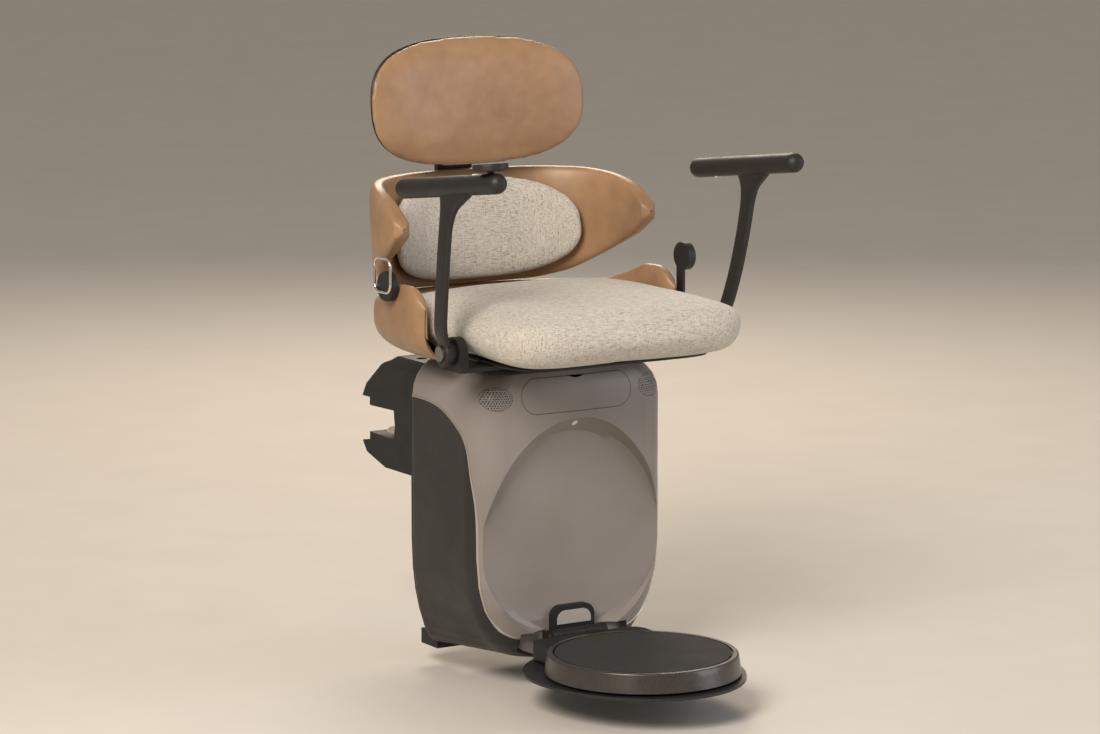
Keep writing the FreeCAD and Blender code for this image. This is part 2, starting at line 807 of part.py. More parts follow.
rear_opening = inner_form.copy()
rear_opening.translate(Vector(0, wall + 20, 0))
hollow = inner_form.fuse(rear_opening.common(slab(-400, 400, plate_face - 1, BACK + 40, BOTTOM - 50, TOP + 50)))
shell = outer_form.cut(hollow)
trim = size("trim_width")
trim_gap = 0.05
notch = size("foot_notch_half")
depth_end = behind(size("recess_depth"))
foot_notch = slab(-notch, notch, behind(-20), depth_end, BOTTOM - 30, above(0))
side_shell = shell.common(side_prism(0.0)).cut(foot_notch)
half_seam = 0.15
keep(solid("side_cover_right_shape", side_shell.common(slab(-400, -half_seam, -900, 400, -600, 400))),
     "side_cover_right")
keep(solid("side_cover_left_shape", side_shell.common(slab(half_seam, 400, -900, 400, -600, 400))),
     "side_cover_left")
band = side_prism(trim + trim_gap).cut(side_prism(trim_gap))
trim_skin = housing_form(size("trim_proud")).common(band).cut(hollow)
trims = [trim_skin.common(slab(-400, -notch - 1, -900, BACK - 1, -600, 400)),
         trim_skin.common(slab(notch + 1, 400, -900, BACK - 1, -600, 400))]
keep(solid("side_trims_shape", Part.makeCompound(trims)), "side_trims")


def egg(along, half, top, bottom):
    """A closed egg in a plane across the front, at a distance behind it."""
    centre = size("recess_centre")
    points = []
    for step in range(24):
        angle = 2 * math.pi * step / 24
        rise = math.sin(angle) * (top - centre if math.sin(angle) > 0 else centre - bottom)
        points.append(Vector(half * math.cos(angle), behind(along), above(centre + rise)))
    return smooth_ring(points)


def recess_form(grow):
    """The space of the recess, grown outwards and backwards by a distance."""
    depth = size("recess_depth")
    shoulder = size("recess_shoulder")
    slope_top = (size("recess_top") - size("recess_floor_top")) / depth
    slope_foot = (size("recess_floor_bottom") - size("recess_bottom")) / depth
    lead = 6.0
    half = size("recess_half_width") + grow
    return loft([
        egg(-lead, half, size("recess_top") + slope_top * lead + grow, size("recess_bottom") - slope_foot * lead - grow),
        egg(shoulder + grow, half, size("recess_top") - slope_top * shoulder + grow,
            size("recess_bottom") + slope_foot * shoulder - grow),
        egg(depth + grow, size("recess_floor_half_width") + grow, size("recess_floor_top") + grow,
            size("recess_floor_bottom") - grow),
    ], True)


def stadium(width, height, level, near, far):
    """A run along Y with flat top and bottom and round ends."""
    radius = height / 2
    half = width / 2 - radius
    shape = slab(-half, half, near, far, level - radius, level + radius)
    for side in (-half, half):
        shape = shape.fuse(Part.makeCylinder(radius, far - near, Vector(side, near, level), Vector(0, 1, 0)))
    return shape.removeSplitter()


def oval_run(x, level, half_width, half_height, near, far):
    """A run along Y with an elliptical section."""
    ellipse = Part.Ellipse(Vector(half_width, 0, 0), Vector(0, half_height, 0), Vector())
    shape = Part.Face(Part.Wire(ellipse.toShape())).extrude(Vector(0, 0, far - near))
    shape.rotate(Vector(), Vector(1, 0, 0), -90)
    shape.translate(Vector(x, near, level))
    return shape


notch_wall = slab(-notch - wall, notch + wall, behind(-20), depth_end + wall, BOTTOM - 30, above(wall))
behind_line = side_prism(trim + 2 * trim_gap)
front_shell = outer_form.cut(behind_line).cut(hollow)
pan_form = recess_form(wall).fuse(notch_wall).common(lined_form)
front_body = outer_form.cut(behind_line.cut(pan_form))
cover = front_body.cut(recess_form(0.0)).cut(foot_notch).cut(hollow.cut(recess_form(wall)).cut(notch_wall))
hatch_z = above(size("hatch_centre"))
hatch_opening = stadium(size("hatch_width"), size("hatch_height"), hatch_z, behind(-20), behind(40))
cover = cover.cut(hatch_opening)
post_hole = Part.makeCylinder(size("post_flange_radius") + 3, 60, Vector(0, swivel_y, TOP - 30))
cover = cover.cut(post_hole)
light_level = above(size("recess_top") - 10)
light_well = Part.makeCylinder(size("recess_light_radius"), 40, Vector(0, behind(-4), light_level), Vector(0, 1, 0))
recess_light = cover.common(light_well)
cover = cover.cut(Part.makeCylinder(size("recess_light_radius") + 0.05, 40,
                                    Vector(0, behind(-4), light_level), Vector(0, 1, 0)))
speaker_z = above(size("speaker_height"))


def speaker(side):
    """One perforated cap that follows the cover, with its magnet behind it."""
    x = side * size("speaker_x")
    gap = size("grille_gap")
    cap = front_shell.common(oval_run(x, speaker_z, size("speaker_half_width") - gap,
                                      size("speaker_half_height") - gap, behind(-20), behind(60)))
    pitch = size("grille_pitch")
    row_pitch = pitch * math.sqrt(3) / 2
    holes = []
    for row in range(-4, 5):
        for column in range(-6, 7):
            dx = (column + 0.5 * (row % 2)) * pitch
            dz = row * row_pitch
            reach = (dx / (size("speaker_half_width") - 4)) ** 2 + (dz / (size("speaker_half_height") - 4)) ** 2
            if reach < 1:
                holes.append(Part.makeCylinder(size("grille_hole") / 2, 80, Vector(x + dx, behind(-20), speaker_z + dz),
                                               Vector(0, 1, 0)))
    cap = cap.cut(Part.makeCompound(holes))
    magnet = Part.makeCylinder(size("speaker_magnet"), 46, Vector(x, behind(0), speaker_z), Vector(0, 1, 0))
    return cap.fuse(magnet.common(inner_form)).removeSplitter()


for side_name, side_sign in (("right", -1), ("left", 1)):
    cover = cover.cut(oval_run(side_sign * size("speaker_x"), speaker_z, size("speaker_half_width"),
                               size("speaker_half_height"), behind(-20), behind(60)))
keep(solid("speakers_shape", Part.makeCompound([speaker(-1), speaker(1)])), "speakers")
keep(solid("front_cover_shape", cover), "front_cover")
keep(solid("recess_light_shape", recess_light), "recess_light")

panel_gap = 2 * size("hatch_gap")
panel = front_shell.common(stadium(size("hatch_width") - panel_gap, size("hatch_height") - panel_gap, hatch_z,
                             behind(-20), behind(40)))
finger_z = hatch_z + size("hatch_height") / 2
finger = Part.makeCylinder(26, 40, Vector(0, behind(-20), finger_z + 22), Vector(0, 1, 0))
keep(solid("hatch_panel_shape", panel.cut(finger)), "hatch_panel")

tray_half = size("hatch_width") / 2 + size("tray_margin")
tray_high = size("hatch_height") / 2 + size("tray_margin") - 0.5
tray_back = behind(6 + size("tray_depth"))
tray_wall = size("tray_wall")
tray = slab(-tray_half, tray_half, behind(0), tray_back, hatch_z - tray_high, hatch_z + tray_high)
tray = tray.cut(slab(tray_wall - tray_half, tray_half - tray_wall, behind(-10), tray_back - tray_wall,
                     hatch_z - tray_high + tray_wall, hatch_z + tray_high - tray_wall)).common(inner_form)
for side_sign in (-1, 1):
    tray = tray.cut(oval_run(side_sign * size("speaker_x"), speaker_z, size("speaker_magnet") + 2,
                             size("speaker_magnet") + 2, behind(-20), behind(60)))
switch_x = -40
switch_half = size("isolator_width") / 2
switch_high = size("isolator_height") / 2
switch_gap = 0.6
tray = tray.cut(slab(switch_x - switch_half - switch_gap, switch_x + switch_half + switch_gap, behind(20),
                     behind(80), hatch_z - switch_high - switch_gap, hatch_z + switch_high + switch_gap))
keep(solid("hatch_tray_shape", tray), "hatch_tray")
switch_face = tray_back - tray_wall - size("isolator_depth") / 2
keep(box("isolator_switch_body", ("isolator_width", "isolator_depth", "isolator_height"),
         (str(switch_x - switch_half), str(switch_face), str(hatch_z - switch_high))), "isolator_switch")

# Housing: what it holds

for side_name, side_sign in (("right", -1), ("left", 1)):
    keep(box("battery_%s_body" % side_name, ("battery_width", "battery_depth", "battery_height"),
             ("%d * battery_spacing / 2 - battery_width / 2" % side_sign,
              "housing_depth - front_reach - chassis_thick - battery_depth",
              "-deck_drop - battery_floor")), "battery_" + side_name)

board_x = size("board_x")
board_face = plate_face - size("board_post")
board_low = above(size("board_floor"))
board = slab(board_x - size("board_width") / 2, board_x + size("board_width") / 2,
             board_face - size("board_thick"), board_face, board_low, board_low + size("board_height"))
for across in (-1, 1):
    for up in (0.08, 0.92):
        post_at = Vector(board_x + across * (size("board_width") / 2 - 6), board_face,
                         board_low + up * size("board_height"))
        board = board.fuse(Part.makeCylinder(3, size("board_post"), post_at, Vector(0, 1, 0)))
for chip_x, chip_z, chip_w, chip_h, chip_t in ((-18, 16, 20, 14, 3), (8, 14, 26, 10, 9), (-4, 48, 22, 22, 5)):
    board = board.fuse(slab(board_x + chip_x, board_x + chip_x + chip_w, board_face - size("board_thick") - chip_t,
                            board_face - size("board_thick"), board_low + chip_z, board_low + chip_z + chip_h))
keep(solid("control_board_shape", board.removeSplitter()), "control_board")

motor_end = gear_start - 9 - 0.3
level_motor = Part.makeCylinder(size("level_motor_radius"), size("level_motor_length"),
                                Vector(0, motor_end - size("level_motor_length"), -level_drop), Vector(0, 1, 0))
foot_top = -level_drop - size("level_motor_radius") + 3
level_foot = slab(-16, 16, motor_end - size("level_motor_length"), plate_face,
                  foot_top - size("level_motor_foot"), foot_top)
keep(solid("levelling_motor_shape", level_motor.fuse(level_foot).removeSplitter()), "levelling_motor")

screws = []
for screw_x, screw_z in screw_places:
    shank = Part.makeCylinder(size("screw_radius"), size("chassis_thick"), Vector(screw_x, plate_face, screw_z),
                              Vector(0, 1, 0))
    head = Part.makeCylinder(size("screw_head_radius"), size("screw_head"), Vector(screw_x, BACK, screw_z),
                             Vector(0, 1, 0))
    screws.append(shank.fuse(head).removeSplitter())
keep(solid("chassis_screws_shape", Part.makeCompound(screws)), "chassis_screws")


def bracket_run(outline, side):
    """A bracket outline of (behind the back, above) points, run across the housing on one side."""
    half = size("bracket_width") / 2
    points = [Vector(side * size("bracket_x") - half, BACK + along, above(level)) for along, level in outline]
    return Part.Face(Part.makePolygon(points + points[:1])).extrude(Vector(2 * half, 0, 0))


upper_reach = size("upper_bracket_reach")
upper_top = size("upper_bracket_height") + size("upper_bracket_thick") / 2 + 4
upper_outline = ((0, upper_top), (upper_reach / 2, upper_top), (upper_reach, upper_top - 38),
                 (upper_reach * 0.3, upper_top - 38), (0, upper_top - 24))
lower_reach = size("lower_bracket_reach")
lower_top = -size("lower_bracket_top") - 8
lower_outline = ((0, lower_top), (lower_reach / 2, lower_top), (lower_reach / 2, lower_top - 19),
                 (lower_reach, lower_top - 22), (lower_reach, lower_top - 45), (0, lower_top - 45))
brackets = [bracket_run(outline, side) for outline in (upper_outline, lower_outline) for side in (-1, 1)]
keep(solid("rear_brackets_shape", Part.makeCompound(brackets)), "rear_brackets")

seat_post = Part.makeCylinder(size("post_flange_radius"), above(size("post_flange_top")) - shelf_top,
                              Vector(0, swivel_y, shelf_top))
spigot_top = above(size("seat_plate_bottom")) - 0.5
seat_post = seat_post.fuse(Part.makeCylinder(size("post_radius") - size("running_fit"), spigot_top - shelf_top,
                                             Vector(0, swivel_y, shelf_top)))
seat_post = seat_post.cut(Part.makeCylinder(size("post_radius") - 6, 200, Vector(0, swivel_y, shelf_top - 50)))
keep(solid("seat_post_shape", seat_post.removeSplitter()), "seat_post")

# Footrest

pivot_y = behind(size("pivot_behind_front"))
pivot_z = above(-size("pivot_below_deck"))
barrel = size("barrel_radius")
half_barrel = size("barrel_half_length")
knuckle = size("knuckle_gap")
pin = size("pin_radius")
KNUCKLE_ENDS = (0.2, 0.62, 1.0)
inner_end, outer_start = KNUCKLE_ENDS[0] * half_barrel, KNUCKLE_ENDS[1] * half_barrel


def knuckles(runs, near, far, top, bottom):
    """Hinge knuckles over some stretches of the barrel, each with a web between two Y values."""
    shape = None
    for low, high in runs:
        part = Part.makeCylinder(barrel, high - low, Vector(low, pivot_y, pivot_z), Vector(1, 0, 0))
        part = part.fuse(slab(low, high, near, far, bottom, top))
        shape = part if shape is None else shape.fuse(part)
    return shape


fixed_runs = ((-half_barrel, -outer_start), (-inner_end, inner_end), (outer_start, half_barrel))
moving_runs = ((knuckle - outer_start, -inner_end - knuckle), (inner_end + knuckle, outer_start - knuckle))
arch_half = size("arch_half_width")
arch_top = above(size("arch_top"))
arch_near = behind(size("arch_front"))


def arch(inset, near, far, low):
    """A raised plate with a round-shouldered top."""
    shape = slab(inset - arch_half, arch_half - inset, near, far, low, arch_top - inset)
    shoulders = [edge for edge in shape.Edges
                 if edge.BoundBox.YLength > far - near - 0.01 and edge.BoundBox.ZMin > arch_top - inset - 0.01]
    return shape.makeFillet(arch_half * 0.45 - inset * 0.3, shoulders)


bracket = arch(0.0, arch_near, depth_end, pivot_z - barrel)
bracket = bracket.fuse(slab(-half_barrel, half_barrel, arch_near, depth_end, pivot_z - barrel, pivot_z + 4))
bracket = bracket.fuse(knuckles(fixed_runs, pivot_y, depth_end, pivot_z + 4, pivot_z - barrel))
sweep = Part.makeCylinder(barrel + 1.5, 4 * half_barrel, Vector(-2 * half_barrel, pivot_y, pivot_z), Vector(1, 0, 0))
for low, high in moving_runs:
    bracket = bracket.cut(sweep.common(slab(low - knuckle, high + knuckle, -900, 900, -900, 900)))
pin_bore = Part.makeCylinder(pin, 4 * half_barrel, Vector(-2 * half_barrel, pivot_y, pivot_z), Vector(1, 0, 0))
keep(solid("hinge_bracket_shape", bracket.cut(pin_bore).removeSplitter()), "hinge_bracket")
keep(solid("hinge_face_shape", arch(size("arch_face_inset"), arch_near - size("arch_face_thick"), arch_near,
     pivot_z + barrel + 4)), "hinge_face")
keep(cylinder("hinge_pin_body", "pin_radius", "2 * barrel_half_length",
              ("-barrel_half_length", "pivot_behind_front - front_reach", "-pivot_below_deck - deck_drop"), "X"),
     "hinge_pin")

disc_y = behind(-size("footrest_centre"))
foot_low = above(-size("footrest_thick"))
mat_low = above(-size("mat_thick"))
foot_posts = [(x, disc_y + y) for x in (-1, 1) for y in (-1, 1)]
post_pitch = size("flange_post_pitch")
foot_plate = Part.makeCylinder(size("plate_radius"), mat_low - foot_low, Vector(0, disc_y, foot_low))
post_fit = size("flange_post_radius") + size("running_fit")
for x in (-post_pitch, post_pitch):
    for y in (-post_pitch, post_pitch):
        hole = Part.makeCylinder(post_fit, size("flange_post_length") + 2, Vector(x, disc_y + y, foot_low - 1))
        foot_plate = foot_plate.cut(hole)
keep(solid("footrest_plate_shape", foot_plate), "footrest_plate")
keep(cylinder("footrest_mat_body", "mat_radius", "mat_thick",
              ("0", "-front_reach - footrest_centre", "-deck_drop - mat_thick"), "Z"), "footrest_mat")

rim = cone("footrest_rim_cone", "rim_bottom_radius", "rim_top_radius", "footrest_thick",
           ("0", "-front_reach - footrest_centre", "-deck_drop - footrest_thick"))
rim_core = cylinder("footrest_rim_core", "plate_radius", "footrest_thick * 3",
                    ("0", "-front_reach - footrest_centre", "-deck_drop - footrest_thick * 2"), "Z")
rim_ring = cut("footrest_rim_ring", rim, rim_core)
doc.recompute()
rim_edges = [index for index, edge in enumerate(rim_ring.Shape.Edges, start=1)
             if edge.BoundBox.ZMin > above(-0.01) and edge.BoundBox.XLength > 2 * size("plate_radius") + 2]
rim_round = doc.addObject("Part::Fillet", "footrest_rim_round")
rim_round.Base = rim_ring
rim_round.Edges = [(index, 2.5, 2.5) for index in rim_edges]
keep(rim_round, "footrest_rim")

neck = slab(-size("neck_half_width"), size("neck_half_width"), behind(-size("neck_front")),
            behind(-size("neck_back")), foot_low, above(-size("neck_drop")))
corners = [edge for edge in neck.Edges
           if edge.BoundBox.ZLength > 1 and edge.BoundBox.YMin > behind(-size("neck_back")) - 0.01]
neck = neck.makeFillet(24, corners)
rim_cone = Part.makeCone(size("rim_bottom_radius"), size("rim_top_radius"), size("footrest_thick"),
                         Vector(0, disc_y, foot_low))
neck = neck.cut(rim_cone)
neck = neck.fuse(knuckles(moving_runs, behind(-size("neck_back")) - 6, pivot_y, pivot_z + 3, pivot_z - barrel))
pin_clear = Part.makeCylinder(pin + size("running_fit"), 4 * half_barrel,
                              Vector(-2 * half_barrel, pivot_y, pivot_z), Vector(1, 0, 0))
neck = neck.cut(pin_clear)
for low, high in fixed_runs:
    neck = neck.cut(sweep.common(slab(low - knuckle, high + knuckle, -900, 900, -900, 900)))
keep(solid("footrest_neck_shape", neck.removeSplitter()), "footrest_neck")

flange_half = size("flange_half_width")
flange_points = []
for step in range(32):
    angle = 2 * math.pi * step / 32
    front_semi = size("flange_front") - size("flange_widest")
    semi = front_semi if math.sin(angle) < 0 else size("flange_back_half")
    flange_points.append(Vector(flange_half * math.cos(angle),
                                behind(-size("flange_widest") + semi * math.sin(angle)),
                                above(-size("flange_drop") - size("flange_thick"))))
flange = Part.Face(smooth_ring(flange_points)).extrude(Vector(0, 0, size("flange_thick")))
flange = flange.common(slab(-400, 400, -900, behind(size("flange_back_cut")), -600, 0))
for x in (-post_pitch, post_pitch):
    for y in (-post_pitch, post_pitch):
        flange = flange.fuse(Part.makeCylinder(size("flange_post_radius"), size("flange_post_length"),
                                               Vector(x, disc_y + y, above(-size("flange_drop")) - 0.5)))
keep(solid("safety_flange_shape", flange.removeSplitter()), "safety_flange")

# Seat: swivel, plate and cushion

ring_low = above(size("post_flange_top")) + size("swivel_gap")
plate_low = above(size("seat_plate_bottom"))
swivel_ring = Part.makeCylinder(size("swivel_radius"), plate_low - ring_low, Vector(0, swivel_y, ring_low))
swivel_ring = swivel_ring.cut(Part.makeCylinder(size("post_radius"), 60, Vector(0, swivel_y, ring_low - 20)))
keep(solid("swivel_ring_shape", swivel_ring), "swivel_ring")

CURVE_STEPS = 24


def shell_curve(level, half, centre, depth, power, reach):
    """Points of a curve round the sitter's back, from right to left, over a share of its full wrap."""
    points = []
    for step in range(CURVE_STEPS + 1):
        angle = math.radians(90 * reach * (2 * step / CURVE_STEPS - 1))
        across = math.copysign(abs(math.sin(angle)) ** (2 / power), angle)
        along = max(math.cos(angle), 0.0) ** (2 / power)
        points.append(Vector(half * across, behind(centre + depth * along), above(level)))
    return points


def band_wire(outer_points, inner_points):
    """The closed outline between two curves that run the same way."""
    return Part.Wire([
        smooth_edge(outer_points),
        Part.makeLine(outer_points[-1], inner_points[-1]),
        smooth_edge(inner_points[::-1]),
        Part.makeLine(inner_points[0], outer_points[0]),
    ])


HIP_POWER = 3.0
hip_low = size("hip_bottom")
hip_under = size("hip_under_height")


def hip_inset(level):
    """How far the hip shell has drawn in under the seat at one height."""
    return size("hip_under_inset") * ease(max(0.0, (hip_low + hip_under - level) / hip_under))


def hip_curve(level, inset):
    """One level of the hip shell, drawn in by an inset."""
    total = hip_inset(level) + inset
    return shell_curve(level, size("shell_half_width") - total, size("hip_centre"), size("hip_depth") - total,
                       HIP_POWER, 1.0)


hip_levels = [hip_low, hip_low + 2, size("seat_plate_bottom"), size("seat_plate_bottom") + size("seat_plate_thick"),
              hip_low + 22, hip_low + 32, hip_low + hip_under, size("hip_top") + 2]
hip_shell = loft([band_wire(hip_curve(level, 0.0), hip_curve(level, size("hip_wall"))) for level in hip_levels], True)
hip_top = size("hip_top")
hip_back = size("hip_back_top")
hip_edge = [Vector(-400, behind(y), above(z)) for y, z in (
    (60, hip_back - 4), (66, hip_back + 6), (80, hip_top - 14), (110, hip_top - 2), (150, hip_top - 2),
    (200, hip_top - 22), (240, hip_back + 4), (360, hip_back))]
hip_ends = [Vector(-400, behind(360), above(300)), Vector(-400, behind(60), above(300))]
hip_limit = Part.Wire([smooth_edge(hip_edge), Part.makeLine(hip_edge[-1], hip_ends[0]),
                       Part.makeLine(hip_ends[0], hip_ends[1]), Part.makeLine(hip_ends[1], hip_edge[0])])
hip_shell = hip_shell.common(Part.Face(hip_limit).extrude(Vector(800, 0, 0)))
reel_y = behind(size("reel_behind"))
stud_z = above(size("reel_stud_height"))
shell_side = size("shell_half_width")
hip_shell = hip_shell.cut(Part.makeCylinder(size("reel_stud_radius") + size("running_fit"), 60,
                                            Vector(-shell_side - 20, reel_y, stud_z), Vector(1, 0, 0)))
keep(solid("hip_shell_shape", hip_shell), "hip_shell")

plate_rear = hip_curve(size("seat_plate_bottom"), size("hip_wall") + 0.3)
plate_half = plate_rear[-1].x
plate_front = behind(size("seat_plate_front"))
plate_corner = size("seat_plate_corner")
plate_level = plate_rear[0].z
mid = plate_corner * (1 - math.sin(math.pi / 4))
seat_plate_edges = [smooth_edge(plate_rear)]
seat_plate_edges.append(Part.makeLine(plate_rear[-1], Vector(plate_half, plate_front + plate_corner, plate_level)))
seat_plate_edges.append(Part.Arc(Vector(plate_half, plate_front + plate_corner, plate_level),
                                 Vector(plate_half - mid, plate_front + mid, plate_level),
                                 Vector(plate_half - plate_corner, plate_front, plate_level)).toShape())
seat_plate_edges.append(Part.makeLine(Vector(plate_half - plate_corner, plate_front, plate_level),
                                      Vector(plate_corner - plate_half, plate_front, plate_level)))
seat_plate_edges.append(Part.Arc(Vector(plate_corner - plate_half, plate_front, plate_level),
                                 Vector(mid - plate_half, plate_front + mid, plate_level),
                                 Vector(-plate_half, plate_front + plate_corner, plate_level)).toShape())
seat_plate_edges.append(Part.makeLine(Vector(-plate_half, plate_front + plate_corner, plate_level), plate_rear[0]))
seat_plate = Part.Face(Part.Wire(seat_plate_edges)).extrude(Vector(0, 0, size("seat_plate_thick")))
keep(solid("seat_plate_shape", seat_plate), "seat_plate")


def cushion_section(level, inset, bow):
    """The plan outline of the seat cushion at one height."""
    half = size("cushion_half_width") - inset
    near = behind(size("cushion_front") + inset)
    far = behind(size("cushion_back") - inset)
    corner = size("cushion_corner") - inset * 0.5
    mid = corner * (1 - math.sin(math.pi / 4))

    def at(x, y):
        return Vector(x, y, above(level))

    return Part.Wire([
        Part.Arc(at(corner - half, near), at(0, near - bow), at(half - corner, near)).toShape(),
        Part.Arc(at(half - corner, near), at(half - mid, near + mid), at(half, near + corner)).toShape(),
        Part.makeLine(at(half, near + corner), at(half, far - corner)),
        Part.Arc(at(half, far - corner), at(half - mid, far - mid), at(half - corner, far)).toShape(),
        Part.makeLine(at(half - corner, far), at(corner - half, far)),
        Part.Arc(at(corner - half, far), at(mid - half, far - mid), at(-half, far - corner)).toShape(),
        Part.makeLine(at(-half, far - corner), at(-half, near + corner)),
        Part.Arc(at(-half, near + corner), at(mid - half, near + mid), at(corner - half, near)).toShape(),
    ])


cushion_low = size("cushion_bottom")
cushion_high = size("cushion_top")
side_inset = size("cushion_side_inset")
crown = size("cushion_crown_inset")
bow = size("cushion_bow")
CUSHION_STEPS = ((cushion_low, side_inset + 2, bow - 5), (cushion_low + 8, side_inset / 2, bow - 2),
                 (cushion_low + 24, 0.0, bow), (cushion_high - 32, 0.0, bow), (cushion_high - 16, 4.0, bow),
                 (cushion_high - 6, crown / 4, bow), (cushion_high - 1.5, crown / 2, bow), (cushion_high, crown, bow))
cushion = loft([cushion_section(level, inset, front_bow) for level, inset, front_bow in CUSHION_STEPS], True)
keep(solid("seat_cushion_shape", cushion), "seat_cushion")

# Seat: back

BACK_POWER = 2.5
BACK_REACH = ((477, 0.38), (490, 0.5), (521, 0.72), (550, 0.9), (590, 1.0), (622, 0.95), (640, 0.8), (648, 0.62))


OVAL_POWER = 2.7
OVAL_SHARES = (0.004, 0.03, 0.08, 0.17, 0.3, 0.5, 0.7, 0.83, 0.92, 0.97, 0.996)


def oval(share):
    """How wide an oval cushion is at a share of its height, out of its full width."""
    return (1 - abs(2 * share - 1) ** OVAL_POWER) ** (1 / OVAL_POWER)


def back_curve(level, inset, reach):
    """One level of the lower back shell, drawn in by an inset and leaning with height."""
    lean = (level - size("back_middle")) * size("back_lean")
    return shell_curve(level, size("shell_half_width") - inset, size("back_centre") + lean,
                       size("back_depth") - inset, BACK_POWER, reach)


lower_back = loft([band_wire(back_curve(level, 0.0, reach), back_curve(level, size("back_wall"), reach))
                   for level, reach in BACK_REACH])
keep(solid("lower_back_shell_shape", lower_back), "lower_back_shell")
pad_near = size("back_wall") + size("pad_gap")
pad_wires = []
for share in OVAL_SHARES:
    level = size("pad_bottom") + share * (size("pad_top") - size("pad_bottom"))
    width = size("pad_half_width") * oval(share) / (size("shell_half_width") - size("back_wall"))
    reach = math.degrees(math.asin(width ** (BACK_POWER / 2))) / 90
    pad_far = pad_near + size("pad_thick") * (0.45 + 0.55 * oval(share))
    pad_wires.append(band_wire(back_curve(level, pad_near, reach), back_curve(level, pad_far, reach)))
pad = loft(pad_wires)
keep(solid("lower_back_pad_shape", pad), "lower_back_pad")


def head_wire(level, half, near, far):
    """One level of the headrest between two depths behind its hollow front."""
    middle = (size("head_bottom") + size("head_top")) / 2
    edge = size("head_edge") + (level - middle) * size("back_lean")
    full = size("head_half_width")

    def at(x, depth):
        drop = size("head_bow") * (1 - (x / full) ** 2)
        return Vector(x, behind(edge + drop + depth), above(level))

    return Part.Wire([
        Part.Arc(at(-half, far), at(0, far), at(half, far)).toShape(),
        Part.makeLine(at(half, far), at(half, near)),
        Part.Arc(at(half, near), at(0, near), at(-half, near)).toShape(),
        Part.makeLine(at(-half, near), at(-half, far)),
    ])


head_low = size("head_bottom")
head_high = size("head_top")
head_half = size("head_half_width")
cushion_deep = size("head_thick") - size("head_shell_thick") - 0.3
head_cushion = []
head_shell = []
for share in OVAL_SHARES:
    level = head_low + share * (head_high - head_low)
    half = head_half * oval(share)
    edge_drop = (1 - oval(share)) * cushion_deep * 0.6
    head_cushion.append(head_wire(level, half, edge_drop, cushion_deep))
    head_shell.append(head_wire(level, half, cushion_deep + 0.3, size("head_thick") - edge_drop * 0.3))
keep(solid("headrest_cushion_shape", loft(head_cushion)), "headrest_cushion")
keep(solid("headrest_shell_shape", loft(head_shell)), "headrest_shell")

spine_half = size("spine_width") / 2
spine_near = behind(size("spine_front"))
spine_far = spine_near + size("spine_thick")
spine_foot = above(hip_low) - size("spine_gap") - size("spine_foot_thick")
foot_start = behind(size("spine_foot_front")) + size("swivel_gap")
inner_rear = behind(size("hip_centre") + size("hip_depth") - size("hip_under_inset") - size("hip_wall")) - 6
spine = slab(-spine_half, spine_half, spine_near, spine_far, spine_foot, above(size("spine_top")))
spine = spine.fuse(slab(-spine_half, spine_half, foot_start, spine_far, spine_foot, spine_foot + size("spine_foot_thick")))
spine = spine.fuse(slab(-spine_half, spine_half, foot_start, inner_rear, spine_foot, plate_low))
hip_rear = behind(size("hip_centre") + size("hip_depth")) + size("spine_gap")
spine = spine.fuse(slab(-spine_half, spine_half, hip_rear, spine_near, above(450), above(468)))
lean_rear = behind(size("back_centre") + size("back_depth") + 20 * size("back_lean")) + size("spine_gap")
spine = spine.fuse(slab(-spine_half, spine_half, lean_rear, spine_near, above(540), above(580)))
head_middle = (head_low + head_high) / 2
head_rear = behind(size("head_edge") + size("head_bow") + size("head_thick")
                   + (size("spine_top") - head_middle) * size("back_lean")) + size("spine_gap")
spine = spine.fuse(slab(-spine_half, spine_half, head_rear, spine_near, above(head_middle - 30), above(size("spine_top"))))
keep(solid("back_spine_shape", spine.removeSplitter()), "back_spine")

# Arms

arm_x = size("arm_pivot_x")
arm_y = behind(size("arm_pivot_behind"))
arm_z = above(size("arm_pivot_height"))
ear_out = arm_x + size("ear_thick") / 2
eye_in = ear_out + size("ear_gap")
eye_out = eye_in + size("arm_eye_thick")


def across(side, radius, low, high, y, z):
    """A round bar along X between two distances from the middle, on one side."""
    start = min(side * low, side * high)
    return Part.makeCylinder(radius, high - low, Vector(start, y, z), Vector(1, 0, 0))


def arm_bracket(side):
    """The ear that carries one arm, with the tongue that is fixed under the seat plate."""
    ear_in = arm_x - size("ear_thick") / 2
    radius = size("ear_radius")
    foot = plate_low - size("ear_foot_thick")
    ear = across(side, radius, ear_in, ear_out, arm_y, arm_z)
    low, high = sorted((side * ear_in, side * ear_out))
    ear = ear.fuse(slab(low, high, arm_y - radius, arm_y + radius, foot, arm_z))
    low, high = sorted((side * 120.0, side * ear_out))
    ear = ear.fuse(slab(low, high, arm_y - radius, arm_y + radius, foot, plate_low))
    return ear.cut(across(side, size("arm_pin_radius"), 0, 400, arm_y, arm_z)).removeSplitter()


def arm_pin(side):
    """One pivot pin with its head outside the arm."""
    inside = arm_x - size("ear_thick") / 2
    end = eye_out + size("ear_gap")
    head = across(side, size("arm_pin_radius") + size("pin_head_lip"), end, end + 3, arm_y, arm_z)
    return across(side, size("arm_pin_radius"), inside, end, arm_y, arm_z).fuse(head).removeSplitter()


def post_wire(side, x, y, z, wide, thin):
    """A round-ended section of the arm post at one height."""
    half = wide / 2 - thin / 2
    radius = thin / 2
    middle = side * x

    def at(dx, dy):
        return Vector(middle + dx, behind(y) + dy, above(z))

    return Part.Wire([
        Part.makeLine(at(radius, -half), at(radius, half)),
        Part.Arc(at(radius, half), at(0, half + radius), at(-radius, half)).toShape(),
        Part.makeLine(at(-radius, half), at(-radius, -half)),
        Part.Arc(at(-radius, -half), at(0, -half - radius), at(radius, -half)).toShape(),
    ])


